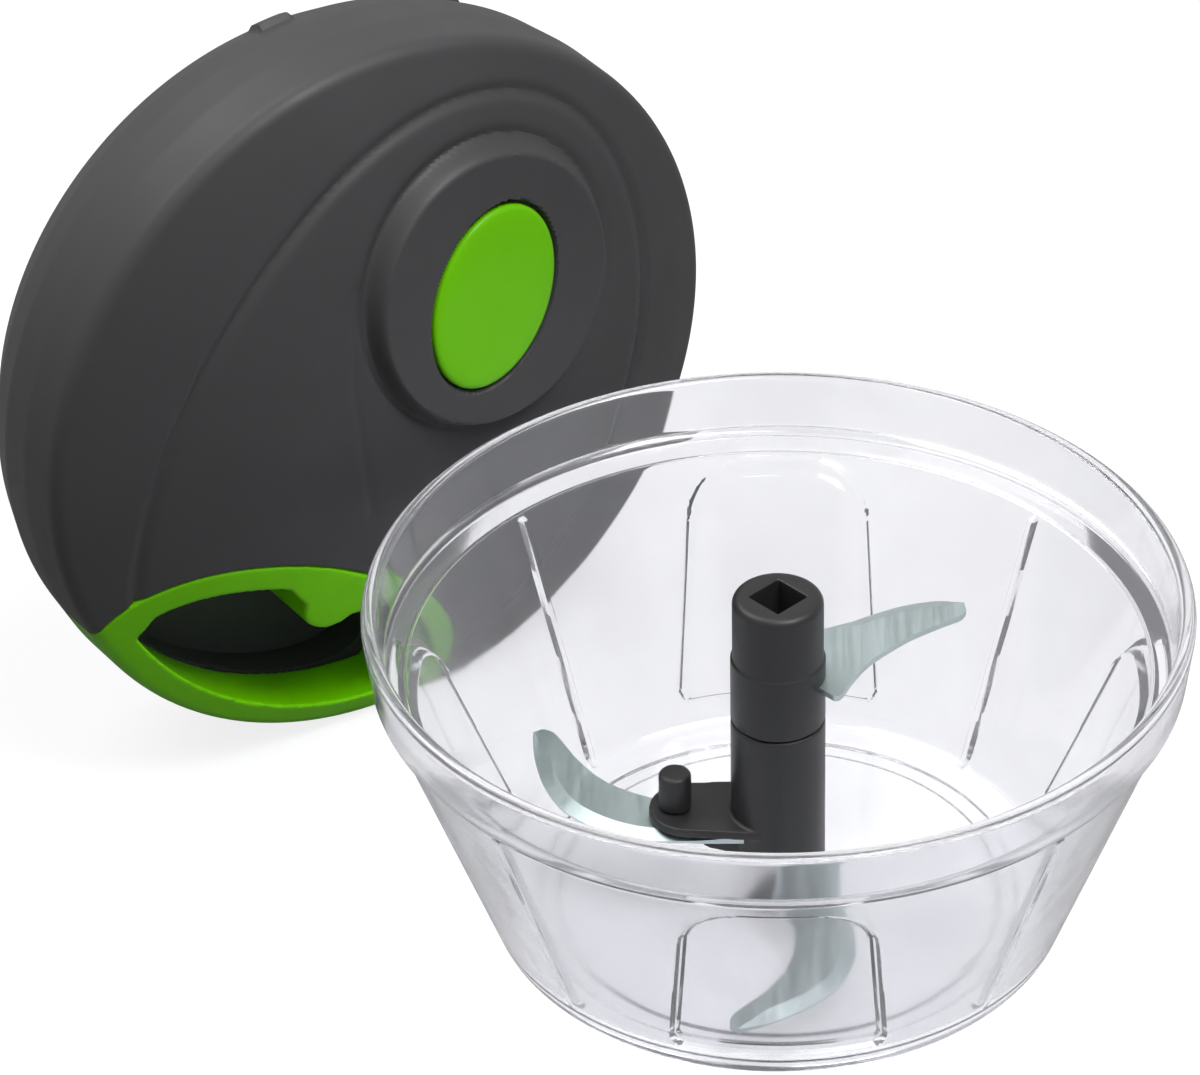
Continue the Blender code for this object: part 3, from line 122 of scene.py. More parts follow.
# Radius and height of the skirt's line below the barrel
SKIRT_LINE = ((59.0, 12.0), (56.8, 6.0))
COVER_WALL = 2.2
HORSESHOE_HALF_WIDE = 42.0
HORSESHOE_HALF_LONG = 57.0
HORSESHOE_GAP = math.radians(88.0)
HORSESHOE_DEPTH = 0.75
HORSESHOE_WIDTH = 0.85
FLOW_DEPTH = 0.22
FLOW_WIDTH = 0.8
BOSS_R = 22.5
BOSS_BACK = 24.0
BOSS_PROUD = 1.0
BOSS_TILT = math.radians(10.5)
BUTTON_SEAT = (11.5, 15.1)
BUTTON_SHIFT = -1.2
BUTTON_SEAT_DEPTH = 1.8
BUTTON_HALF_WIDE = 11.2
BUTTON_HALF_LONG = 14.8
# Middle and spread in degrees of the two lugs on one side
LUGS = ((99.0, 15.0), (126.0, 6.0))
LUG_PROUD = 1.2
POCKET_FLOOR = 19.0
RECESS_FLOOR = 13.0
RECESS_CENTRE = 43.5
RECESS_HALF_WIDE = 26.0
RECESS_HALF_LONG = 11.0
RECESS_WALL = 3.0
POCKET_CENTRE = 48.0
POCKET_HALF_WIDE = 33.5
POCKET_HALF_LONG = 22.0
HANDLE_FIT = 0.3
HANDLE_BAR = 5.0
HANDLE_CORNER = 1.2
TAB_CENTRE = 33.0
TAB_R = 4.8
TAB_HALF_ROOT = 9.5
SCREW_ANGLES = (75.0, 140.0, 220.0, 285.0)
SCREW_CIRCLE_R = 45.6
SCREW_LEVEL = 2.1
CORD_R = 0.8
CORD_LEVEL = 25.65
CORD_LEAVE_R = 15.7
CORD_BEND = 21.9
CORD_EASE = 2.5
CORD_SPLIT = (-25.75, -26.25)

# Place of the lid, standing on its edge behind the bowl
LID_X = -77.2
LID_Y = 72.7
LID_TURN = math.radians(36.0)
LID_LEAN = math.radians(0.2)
LID_ROLL = math.radians(-32.0)
LID_HEIGHT = BARREL_R * math.cos(LID_LEAN) - BARREL_FOOT * math.sin(LID_LEAN)
LID_FRAME = (
    Matrix.Translation((LID_X * MM, LID_Y * MM, LID_HEIGHT * MM))
    @ Matrix.Rotation(LID_TURN, 4, "Z")
    @ Matrix.Rotation(math.radians(90.0) - LID_LEAN, 4, "X")
    @ Matrix.Rotation(LID_ROLL, 4, "Z")
)

# Camera of the photograph
CAMERA_RISE = math.radians(36.78)
CAMERA_YAW = math.radians(-1.54)
CAMERA_PITCH = math.radians(-1.50)
FOCAL_PIXELS = 6615.8
PHOTO_WIDTH = 1200
AIM_HEIGHT = 0.035

# Lamps: name, place, point aimed at, side in metres, watts
LAMPS = (
    ("key", (-0.60, 0.35, 1.15), (-0.03, 0.03, 0.03), 0.8, 11.0),
    ("overhead", (0.45, -0.35, 1.4), (0, 0, 0.03), 0.7, 20.0),
    ("right_fill", (1.2, -0.5, 0.8), (0, 0, 0.05), 0.7, 0.6),
)

# Faint crease between the boss and the handle
FLOW_LINE = (
    (-24.2, 17.8), (-21.2, 10.0), (-18.1, 2.9), (-12.1, -5.3), (-6.7, -12.2), (-4.1, -15.6))

# Blade outlines in millimetres, root along +X; the ground edge is the outer side
BLADE_INNER = (
    (5.2, -5.4), (12.0, -4.2), (17.6, -4.0), (22.9, -6.1), (27.2, -9.2),
    (30.9, -14.0), (33.6, -19.0), (35.0, -21.2), (36.6, -22.0),
)
BLADE_OUTER = (
    (38.1, -21.2), (37.9, -17.2), (37.2, -12.7), (35.8, -7.7), (33.4, -2.9),
    (30.0, 0.6), (25.6, 3.4), (20.0, 5.2), (12.0, 5.7), (8.4, 5.7),
)
UPPER_INNER = (
    (5.0, -2.6), (7.6, -4.9), (8.7, -5.7), (9.7, -4.9), (11.2, -1.5), (13.5, 2.6),
    (16.8, 6.4), (20.4, 9.8), (24.7, 12.8), (27.8, 14.8), (28.7, 16.4),
)
UPPER_OUTER = (
    (28.4, 18.3), (27.0, 19.4), (24.0, 19.6), (19.2, 18.4), (14.8, 16.3),
    (10.5, 13.8), (6.7, 11.4),
)


# Shape helpers, all in millimetres until a piece is placed

def arc(centre, rx, ry, start, end, steps):
    """Points on an ellipse from one angle to another."""
    turn = np.linspace(start, end, steps + 1)
    return np.stack([centre[0] + rx * np.cos(turn), centre[1] + ry * np.sin(turn)], 1)


def rounded(corners, steps=6):
    """Outline through corners (x, y) or (x, y, radius), the latter with a round corner."""
    points = []
    for index, corner in enumerate(corners):
        here = Vector(corner[:2])
        if len(corner) < 3:
            points.append(tuple(here))
            continue
        back = (Vector(corners[index - 1][:2]) - here).normalized()
        ahead = (Vector(corners[(index + 1) % len(corners)][:2]) - here).normalized()
        half = back.angle(ahead) / 2
        centre = here + (back + ahead).normalized() * corner[2] / math.sin(half)
        first = here + back * corner[2] / math.tan(half) - centre
        last = here + ahead * corner[2] / math.tan(half) - centre
        start = math.atan2(first.y, first.x)
        sweep = math.remainder(math.atan2(last.y, last.x) - start, math.tau)
        points += [tuple(p) for p in arc(centre, corner[2], corner[2], start, start + sweep, steps)]
    return points


def finer(points, step):
    """The same open outline with points no further apart than a step."""
    made = [points[0]]
    for a, b in zip(points, points[1:]):
        count = max(1, math.ceil(math.dist(a[:2], b[:2]) / step))
        made += [tuple(np.add(a, np.subtract(b, a) * (k + 1) / count)) for k in range(count)]
    return made


def smooth_curve(points, per_span=5):
    """Open curve through points, Catmull-Rom."""
    p = np.array([points[0], *points, points[-1]], float)
    made = []
    for a, b, c, d in zip(p, p[1:], p[2:], p[3:]):
        for t in np.arange(per_span) / per_span:
            made.append(0.5 * (2 * b + (c - a) * t + (2 * a - 5 * b + 4 * c - d) * t * t
                               + (3 * b - a - 3 * c + d) * t ** 3))
    made.append(p[-1])
    return np.array(made)


def step(low, high, x):
    """Smooth rise from 0 at the low value to 1 at the high one."""
    t = np.clip((x - low) / (high - low), 0, 1)
    return t * t * (3 - 2 * t)


def edge_distance(u, v, outline):
    """Distance of points to a closed outline, below zero inside it."""
    u, v = np.asarray(u, float), np.asarray(v, float)
    best = np.full(u.shape, 1e9)
    inside = np.zeros(u.shape, bool)
    for (ax, ay), (bx, by) in zip(outline, [*outline[1:], outline[0]]):
        dx, dy = bx - ax, by - ay
        t = np.clip(((u - ax) * dx + (v - ay) * dy) / (dx * dx + dy * dy + 1e-12), 0, 1)
        best = np.minimum(best, np.hypot(u - ax - t * dx, v - ay - t * dy))
        crosses = ((ay > v) != (by > v)) & (u < dx * (v - ay) / (dy if dy else 1e-12) + ax)
        inside ^= crosses
    return np.where(inside, -best, best)


def line_distance(x, y, line):
    """Distance of points to an open line."""
    best = np.full(x.shape, 1e9)
    for (ax, ay), (bx, by) in zip(line, line[1:]):
        dx, dy = bx - ax, by - ay
        t = np.clip(((x - ax) * dx + (y - ay) * dy) / (dx * dx + dy * dy + 1e-12), 0, 1)
        best = np.minimum(best, np.hypot(x - ax - t * dx, y - ay - t * dy))
    return best


def mesh_object(name, verts, faces):
    mesh = bpy.data.meshes.new(name)
    mesh.from_pydata(np.asarray(verts).tolist(), [], faces)
    shape = bmesh.new()
    shape.from_mesh(mesh)
    bmesh.ops.remove_doubles(shape, verts=shape.verts, dist=0.001)
    bmesh.ops.recalc_face_normals(shape, faces=shape.faces)
    shape.to_mesh(mesh)
    shape.free()
    made = bpy.data.objects.new(name, mesh)
    bpy.context.scene.collection.objects.link(made)
    return made


def skin(name, rows, ring=False):
    """Closed surface from rows of points round the axis; a ring joins its last row to its first."""
    rows = np.asarray(rows, float)
    n, m = rows.shape[:2]
    faces = []
    for i in range(n if ring else n - 1):
        a, b = i * m, (i + 1) % n * m
        faces += [(a + j, a + (j + 1) % m, b + (j + 1) % m, b + j) for j in range(m)]
    return mesh_object(name, rows.reshape(-1, 3), faces)


def lathe(name, profile, steps=128, ring=False):
    """Profile of (radius, height) points turned round the z axis."""
    turn = np.linspace(0, math.tau, steps, endpoint=False)
    profile = np.array([p[:2] for p in profile], float)
    rows = np.stack([
        profile[:, :1] * np.cos(turn), profile[:, :1] * np.sin(turn),
        np.repeat(profile[:, 1:2], steps, 1)], 2)
    return skin(name, rows, ring)


def plate(name, outline, bottom, top):
    """Straight solid over an outline."""
    outline = np.asarray(outline, float)
    n = len(outline)
    low = np.column_stack([outline, np.full(n, bottom)])
    high = np.column_stack([outline, np.full(n, top)])
    faces = [tuple(range(n)), tuple(range(2 * n - 1, n - 1, -1))]
    faces += [(i, (i + 1) % n, n + (i + 1) % n, n + i) for i in range(n)]
    return mesh_object(name, np.vstack([low, high]), faces)


def drop(obj):
    bpy.data.objects.remove(obj, do_unlink=True)


def settle(obj):
    """Apply an object's modifiers and its place to its mesh."""
    bpy.context.view_layer.update()
    graph = bpy.context.evaluated_depsgraph_get()
    mesh = bpy.data.meshes.new_from_object(obj.evaluated_get(graph))
    mesh.transform(obj.matrix_world)
    obj.modifiers.clear()
    obj.data = mesh
    obj.matrix_world = Matrix.Identity(4)
    return obj


def carve(obj, tool, operation="DIFFERENCE"):
    change = obj.modifiers.new("Cut", "BOOLEAN")
    change.object = tool
    change.operation = operation
    change.solver = "MANIFOLD"
    settle(obj)
    drop(tool)
    return obj


def soften(obj, voxel, rounds):
    """Round every edge of a moulded piece a little."""
    remesh = obj.modifiers.new("Voxels", "REMESH")
    remesh.mode = "VOXEL"
    remesh.voxel_size = voxel
    smooth = obj.modifiers.new("Smooth", "SMOOTH")
    smooth.factor = 0.5
    smooth.iterations = rounds
    return settle(obj)


def bevel(obj, width, segments=3, angle=35.0):
    edges = obj.modifiers.new("Edges", "BEVEL")
    edges.width = width
    edges.segments = segments
    edges.limit_method = "ANGLE"
    edges.angle_limit = math.radians(angle)
    return settle(obj)


def place(obj, body, finishes, nodes=(), frame_of=None, sharp=32.0):
    """Scale a piece to metres, stand it in place and hand it to its body."""
    scale = Matrix.Diagonal((MM, MM, MM, 1))
    obj.data.transform((frame_of or Matrix.Identity(4)) @ scale)
    obj.data.materials.clear()
    for finish in finishes if isinstance(finishes, (list, tuple)) else [finishes]:
        obj.data.materials.append(finish)
    obj.data.shade_smooth()
    obj.data.set_sharp_from_angle(angle=math.radians(sharp))
    if nodes:
        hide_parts(*nodes)
    if body:
        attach(obj, body)
    return obj


# Materials

class Nodes:
    """A small helper that adds shader nodes and joins them."""

    def __init__(self, name):
        self.material = bpy.data.materials.new(name)
        self.material.use_nodes = True
        self.tree = self.material.node_tree
        self.shader = self.tree.nodes["Principled BSDF"]
        self.output = self.tree.nodes["Material Output"]
        self.where = self.tree.nodes.new("ShaderNodeTexCoord").outputs["Object"]

    def add(self, kind, values=None, **settings):
        node = self.tree.nodes.new("ShaderNode" + kind)
        for key, value in settings.items():
            setattr(node, key, value)
        for key, value in (values or {}).items():
            if isinstance(value, bpy.types.NodeSocket):
                self.tree.links.new(value, node.inputs[key])
            else:
                node.inputs[key].default_value = value
        return node

    def link(self, source, target):
        self.tree.links.new(source, target)

    def noise(self, scale, detail=3.0, rough=0.55, stretch=(1, 1, 1)):
        spread = self.add("Mapping", {"Vector": self.where, "Scale": stretch})
        return self.add("TexNoise", {
            "Vector": spread.outputs[0], "Scale": scale, "Detail": detail,
            "Roughness": rough}).outputs["Fac"]

    def ranged(self, value, low, high, out_low, out_high):
        return self.add("MapRange", {
            "Value": value, "From Min": low, "From Max": high,
            "To Min": out_low, "To Max": out_high}).outputs["Result"]

    def blend(self, factor, first, second):
        node = self.add("Mix", {"Factor": factor}, data_type="RGBA")
        for socket, value in ((6, first), (7, second)):
            if isinstance(value, bpy.types.NodeSocket):
                self.link(value, node.inputs[socket])
            else:
                node.inputs[socket].default_value = (*value, 1)
        return node.outputs[2]

    def bump(self, height, strength, distance):
        return self.add("Bump", {
            "Height": height, "Strength": strength, "Distance": distance}).outputs["Normal"]


def moulded(name, colour, roughness, grain=2400.0, grain_depth=0.00002, patch=0.10,
            coat=0.0, sheen=0.0, specular=0.5):
    """Moulded plastic: faint flow patches in the colour, a fine grain, uneven gloss."""
    n = Nodes(name)
    cloud = n.noise(38.0, 4.0)
    dark = tuple(c * (1 - patch) for c in colour)
    light = tuple(c * (1 + patch) for c in colour)
    tone = n.blend(n.ranged(cloud, 0.3, 0.7, 0, 1), dark, light)
    fine = n.noise(grain, 2.0, 0.6)
    rub = n.noise(95.0, 5.0, 0.65)
    n.link(tone, n.shader.inputs["Base Color"])
    n.link(n.ranged(rub, 0.3, 0.7, roughness * 0.88, roughness * 1.12),
           n.shader.inputs["Roughness"])
    n.link(n.bump(fine, 0.35, grain_depth), n.shader.inputs["Normal"])
    n.shader.inputs["Coat Weight"].default_value = coat
    n.shader.inputs["Coat Roughness"].default_value = 0.12
    n.shader.inputs["Sheen Weight"].default_value = sheen
    n.shader.inputs["Sheen Roughness"].default_value = 0.5
    n.shader.inputs["Specular IOR Level"].default_value = specular
    return n.material


def brushed(name, colour, roughness, stretch, depth=0.00001, patch=0.08):
    """Metal with fine lines drawn along one direction."""
    n = Nodes(name)
    lines = n.noise(900.0, 3.0, 0.7, stretch)
    cloud = n.noise(60.0, 3.0)
    dark = tuple(c * (1 - patch) for c in colour)
    light = tuple(min(1.0, c * (1 + patch)) for c in colour)
    tone = n.blend(n.ranged(cloud, 0.35, 0.65, 0, 1), dark, light)
    tone = n.blend(n.ranged(lines, 0.35, 0.65, 0, 0.6), tone, light)
    n.link(tone, n.shader.inputs["Base Color"])
    n.link(n.ranged(lines, 0.3, 0.7, roughness * 0.85, roughness * 1.2),
           n.shader.inputs["Roughness"])
    n.link(n.bump(lines, 0.25, depth), n.shader.inputs["Normal"])
    n.shader.inputs["Metallic"].default_value = 1.0
    return n.material


def clear_plastic():
    """Clear moulded plastic: faint ripples and haze, and it lets lamps through."""
    n = Nodes("clear_plastic")
    haze = n.noise(42.0, 4.0, 0.6)
    tone = n.blend(n.ranged(haze, 0.35, 0.7, 0, 1), (0.78, 0.78, 0.81), (0.835, 0.837, 0.86))
    n.link(tone, n.shader.inputs["Base Color"])
    n.link(n.ranged(haze, 0.3, 0.75, 0.05, 0.11), n.shader.inputs["Roughness"])
    ripple = n.noise(55.0, 2.0, 0.5)
    n.link(n.bump(ripple, 0.22, 0.0004), n.shader.inputs["Normal"])
    n.shader.inputs["Transmission Weight"].default_value = 0.95
    n.shader.inputs["IOR"].default_value = 1.4
    n.shader.inputs["Specular IOR Level"].default_value = 0.5
    clear = n.add("BsdfTransparent", {"Color": (0.93, 0.935, 0.945, 1)})
    path = n.add("LightPath")
    mix = n.add("MixShader", {
        0: path.outputs["Is Shadow Ray"], 1: n.shader.outputs[0], 2: clear.outputs[0]})
    n.link(mix.outputs[0], n.output.inputs["Surface"])
    return n.material


def braid(name, colour):
    """Braided cord: crossing strands in the bump, with painted shade between them."""
    n = Nodes(name)
    heights = []
    for turn in (0.7, -0.7):
        spread = n.add("Mapping", {"Vector": n.where, "Rotation": (turn, turn, 0.4)})
        heights.append(n.add("TexWave", {
            "Vector": spread.outputs[0], "Scale": 520.0, "Distortion": 0.6}).outputs["Fac"])
    woven = n.add("Math", {0: heights[0], 1: heights[1]}, operation="MAXIMUM").outputs[0]
    # Painted shade: the colour darkens to 60 % where the strands dip, between them
    tone = n.blend(woven, tuple(c * 0.6 for c in colour), colour)
    n.link(tone, n.shader.inputs["Base Color"])
    n.link(n.ranged(woven, 0, 1, 0.95, 0.7), n.shader.inputs["Roughness"])
    n.link(n.bump(woven, 0.6, 0.0001), n.shader.inputs["Normal"])
    return n.material


CLEAR = clear_plastic()
COVER = moulded("soft_dark_grey", (0.045, 0.045, 0.047), 0.5, patch=0.05, sheen=0.03, specular=0.3)
BASE = moulded("base_dark_grey", (0.042, 0.042, 0.044), 0.42, grain=1500.0, grain_depth=0.00004)
SHAFT = moulded("shaft_dark_grey", (0.018, 0.018, 0.019), 0.42, patch=0.08, specular=0.35)
GREEN = moulded("gloss_green", (0.138, 0.51, 0.0), 0.34, grain=700.0, grain_depth=0.00001,
                patch=0.05, coat=0.06, specular=0.16)
WHITE = moulded("bearing_plastic", (0.74, 0.74, 0.70), 0.4)
REEL = moulded("reel_plastic", (0.70, 0.70, 0.70), 0.38)
BLADE = brushed("blade_steel", (0.46, 0.53, 0.535), 0.42, (1, 0.06, 1))
GROUND = brushed("blade_ground_edge", (0.60, 0.68, 0.68), 0.36, (0.3, 1, 1), 0.00002)
BRIGHT = brushed("bright_steel", (0.60, 0.60, 0.61), 0.25, (1, 1, 0.1))
SPRING = brushed("spring_steel", (0.28, 0.29, 0.33), 0.35, (1, 1, 0.05))
CORD = braid("cord_nylon", (0.80, 0.80, 0.78))

CARRIED = {
    "pivot_pin": BRIGHT, "shaft_bush": WHITE, "spindle_bush": WHITE, "spring_housing": BASE,
    "drive_spindle": BRIGHT, "cord_guide": BRIGHT, "reel_screw": BRIGHT, "cord_reel": REEL,
    "reel_cord": CORD, "cord_knot": CORD, "recoil_spring": SPRING,
    "housing_screw_1": BRIGHT, "housing_screw_2": BRIGHT, "housing_screw_3": BRIGHT,
}


def carry_over():
    """Give the nodes that keep their own solids a material each."""
    for node, finish in CARRIED.items():
        data = bpy.data.objects[node].data
        data.materials.clear()
        data.materials.append(finish)


# Bowl

def wall_outside(z):
    """Outer radius of the bowl's tapered wall at a height."""
    return BOWL_BASE_R + (BOWL_SHOULDER_R - BOWL_BASE_R) * z / RIM_FOOT_Z


def bowl_turns():
    """Angles of one quarter, closer together at the panel's sides and at the rib."""
    half = np.concatenate([
        np.arange(0, 13, 0.65), np.arange(13, 24, 0.3), np.arange(24, 43, 0.65),
        np.arange(43, 45, 0.16)])
    quarter = np.concatenate([half, 90 - half[::-1][:-1]])
    turns = np.concatenate([quarter + 90 * k for k in range(4)])
    return np.radians(np.unique(np.round(turns, 4)))


def panel_outline():
    return rounded([
        (-PANEL_FOOT_HALF, PANEL_FOOT_Z, 2.0), (PANEL_FOOT_HALF, PANEL_FOOT_Z, 2.0),
        (PANEL_HEAD_HALF, PANEL_HEAD_Z, PANEL_HEAD_CORNER),
        (-PANEL_HEAD_HALF, PANEL_HEAD_Z, PANEL_HEAD_CORNER),
    ], steps=8)


def follow_panel(side, r, z):
    """Shift the columns of points so that they run along the panel's slanting sides."""
    half_width = np.interp(
        z, [PANEL_FOOT_Z, PANEL_HEAD_Z], [PANEL_FOOT_HALF, PANEL_HEAD_HALF])
    edge = np.arcsin(half_width / np.maximum(r, SMALLEST_WALL_R))
    corner = math.pi / 4
    size = np.abs(side)
    near = size * edge / PANEL_SIDE_TURN
    far = edge + (size - PANEL_SIDE_TURN) * (corner - edge) / (corner - PANEL_SIDE_TURN)
    return np.sign(side) * np.where(size < PANEL_SIDE_TURN, near, far)


def build_bowl():
    inner_foot = wall_outside(BOWL_FLOOR) - BOWL_WALL
    inner_top = wall_outside(LEDGE_Z) - BOWL_WALL
    outside = rounded([
        (wall_outside(RIM_FOOT_Z), RIM_FOOT_Z, 0.5),
        (BOWL_BASE_R, 0, 2.5),
        (FOOT_RING_OUTER_R, 0, 0.3), (FOOT_RING_OUTER_R, FOOT_RING_HIGH, 0.3),
        (FOOT_RING_INNER_R, FOOT_RING_HIGH, 0.3), (FOOT_RING_INNER_R, 0, 0.3), (0, 0),
    ])
    inside = rounded([
        (0, PIN_FOOT), (PIN_R, PIN_FOOT), (PIN_R, PIN_SEAT_TOP, 0.3),
        (PIN_SEAT_R, PIN_SEAT_TOP, 0.4), (PIN_SEAT_R, BOWL_FLOOR, 0.5),
        (inner_foot, BOWL_FLOOR, 3.0), (inner_top, LEDGE_Z, 0.5),
    ])
    rim = rounded([
        (inner_top, LEDGE_Z), (RIM_R - RIM_TAPER - RIM_WALL, LEDGE_Z, 0.5),
        (RIM_R - RIM_WALL, BOWL_HEIGHT, 1.0), (RIM_R, BOWL_HEIGHT, 1.0),
        (RIM_R - RIM_TAPER, RIM_FOOT_Z, 0.5), (wall_outside(RIM_FOOT_Z), RIM_FOOT_Z),
    ])[1:-1]
    inner_wall = finer(inside, WALL_GRID)
    outer_wall = finer(outside, WALL_GRID)
    profile = np.array(inner_wall + rim + outer_wall)
    # 1 for rows of the inner wall, 0 for the rim, 2 for the outer wall
    kind = np.array([1] * len(inner_wall) + [0] * len(rim) + [2] * len(outer_wall))
    near_wall = profile[:, 0] > FLOOR_EDGE_R
    turns = bowl_turns()
    r = np.repeat(profile[:, :1], len(turns), 1)
    z = np.repeat(profile[:, 1:], len(turns), 1)
    t = np.repeat(turns[None], len(profile), 0)
    # Angle from the middle of the nearest panel, and from the nearest rib further down
    side = (t + math.pi / 4) % (math.pi / 2) - math.pi / 4
    drawn = follow_panel(side, r, z)
    t = t - side + drawn
    side = drawn
    inset = np.where(kind == 1, PANEL_INSET, 0.0)[:, None]
    depth_in = -edge_distance(r * np.sin(side), z, panel_outline()) - inset
    arch = step(-PANEL_SOFT, PANEL_SOFT, depth_in)
    arch *= ((kind > 0) & near_wall)[:, None]
    corner = t % (math.pi / 2) - math.pi / 4
    rib = 1 - step(RIB_HALF - 0.15, RIB_HALF + 0.2, np.abs(r * np.sin(corner)))
    rib *= (1 - step(RIB_TOP - 0.6, RIB_TOP + 0.3, z)) * step(BOWL_FLOOR, BOWL_FLOOR + 0.5, z)
    rib *= ((kind == 1) & near_wall)[:, None]
    r = r - PANEL_DEPTH * arch - RIB_PROUD * rib
    rows = np.stack([r * np.cos(t), r * np.sin(t), z], 2)
    bowl = skin("clear_bowl", rows)
    place(bowl, "base", CLEAR, ["bowl"], sharp=40)


# Blade tower

def blade(name, node, inner, outer, root, top, turn, scale=1.0):
    """Flat blade whose outer side is ground down to a thin edge."""
    inner = smooth_curve([np.array(p) * scale for p in inner])
    outer = smooth_curve([np.array(p) * scale for p in outer])
    root = np.array(root, float).reshape(-1, 2)
    outline = np.vstack([inner, outer, root])
    n = len(outline)
    ahead = np.roll(outline, -1, 0) - outline
    back = outline - np.roll(outline, 1, 0)
    ahead /= np.linalg.norm(ahead, axis=1)[:, None]
    back /= np.linalg.norm(back, axis=1)[:, None]
    along = ahead + back
    along /= np.linalg.norm(along, axis=1)[:, None]
    # Share of the full grinding at each point: all of it along the outer side, less at its ends
    share = np.zeros(n)
    k = np.arange(len(outer)) / (len(outer) - 1)
    share[len(inner):len(inner) + len(outer)] = np.minimum(1, 6 * k) * np.minimum(1, 5 * (1 - k))
    inward = np.stack([-along[:, 1], along[:, 0]], 1)
    drawn = outline + inward * (GROUND_WIDTH * share)[:, None]
    low = np.column_stack([outline, np.full(n, -BLADE_THICK)])
    lip = np.column_stack([outline, -LIP_LEFT - LIP_DROP * share])
    high = np.column_stack([drawn, np.zeros(n)])
    faces = [tuple(range(n)), tuple(range(3 * n - 1, 2 * n - 1, -1))]
    for base in (0, n):
        faces += [
            (base + i, base + (i + 1) % n, base + n + (i + 1) % n, base + n + i) for i in range(n)]
    made = mesh_object(name, np.vstack([low, lip, high]), faces)
    made.matrix_world = Matrix.Translation((0, 0, top)) @ Matrix.Rotation(turn, 4, "Z")
    settle(made)
    for face in made.data.polygons:
        face.material_index = int(0.15 < face.normal.z < 0.985)
    place(made, "blade_unit", [BLADE, GROUND], [node], sharp=12)
    return made


def arm(reach, disc_r, bottom, top):
    """Flat arm from the shaft to a round end at its reach."""
    slant = math.acos((SHAFT_R - disc_r) / reach)
    disc = arc((reach, 0), disc_r, disc_r, -slant, slant, 24)
    shaft = [(0, ARM_ROOT_R * math.sin(slant)), (0, -ARM_ROOT_R * math.sin(slant))]
    made = plate("arm", np.vstack([disc, shaft]), bottom, top)
    made.matrix_world = Matrix.Rotation(math.pi, 4, "Z")
    return settle(made)


def build_tower():
    shaft = lathe("tower_shaft", rounded([
        (0, SHAFT_TOP), (SHAFT_R, SHAFT_TOP, 0.35), (SHAFT_R, SHAFT_FOOT, 0.4),
        (SHAFT_BORE_R, SHAFT_FOOT), (SHAFT_BORE_R, BORE_TOP), (0, BORE_TOP)]), 96)
    carve(shaft, arm(*MIDDLE_ARM), "UNION")
    carve(shaft, arm(*LOWER_ARM), "UNION")
    soften(shaft, 0.24, 4)
    place(shaft, "blade_unit", SHAFT, ["blade_shaft"], sharp=60)
    cap = lathe("tower_cap", rounded([
        (0, CAP_TOP), (CAP_R, CAP_TOP, 1.3), (CAP_R, CAP_STEP_HIGH, 0.3),
        (SHAFT_R, CAP_STEP_LOW, 0.3), (SHAFT_R, CAP_FOOT, 0.35), (0, CAP_FOOT)]), 96)
    half = SOCKET_HALF
    corners = [(half, half), (-half, half), (-half, -half), (half, -half)]
    square = plate("socket", corners, SOCKET_FLOOR, CAP_TOP + 3.7)
    square.matrix_world = Matrix.Rotation(math.radians(45.0), 4, "Z")
    carve(cap, settle(square))
    bevel(cap, 0.25)
    place(cap, "blade_unit", SHAFT, ["shaft_cap"], sharp=40)
    stud = lathe("tower_stud", rounded([
        (0, 23.3), (2.5, 23.3, 0.7), (2.5, 17.1, 0.2), (1.7, 17.1), (1.7, 13.7),
        (2.4, 13.7, 0.2), (2.4, 12.2, 0.3), (0, 12.2)]), 48)
    stud.matrix_world = Matrix.Translation((STUD_X, 0, 0))
    place(settle(stud), "blade_unit", SHAFT, ["blade_stud"], sharp=50)
    blade("upper_blade", "blade_upper", UPPER_INNER, UPPER_OUTER,
          ((2.5, 8.0), (1.4, 5.4)), UPPER_TOP, 0.0)
    blade("middle_blade", "blade_middle", BLADE_INNER, BLADE_OUTER,
          (5.2, 5.7), MIDDLE_TOP, math.pi)
    blade("lower_blade", "blade_lower", BLADE_INNER, BLADE_OUTER,
          (5.2, 5.4), LOWER_TOP, LOWER_TURN, LOWER_SCALE)


# Lid

def dome(r, inward=0.0):
    """Height of the dome, or of one inside it, at a distance from the axis."""
    return DOME_APEX - DOME_R + np.sqrt((DOME_R - inward) ** 2 - np.asarray(r, float) ** 2)


def cover_side(inward, count):
    """Profile from the dome's top to the foot of the barrel, as rounded() takes it."""
    side = BARREL_R - inward
    end = side - 6.0
    corners = [(end * k / count, float(dome(end * k / count, inward))) for k in range(count + 1)]
    corners += [(side, float(dome(side, inward)), 3.0), (side, BARREL_TOP), (side, BARREL_FOOT)]
    return corners


def horseshoe():
    start = -math.pi / 2 + HORSESHOE_GAP / 2
    return arc((0, -4.0), HORSESHOE_HALF_WIDE, HORSESHOE_HALF_LONG,
               start, start + math.tau - HORSESHOE_GAP, 160)


def groove(distance, depth, width):
    return -depth * np.exp(-(distance / width) ** 2)


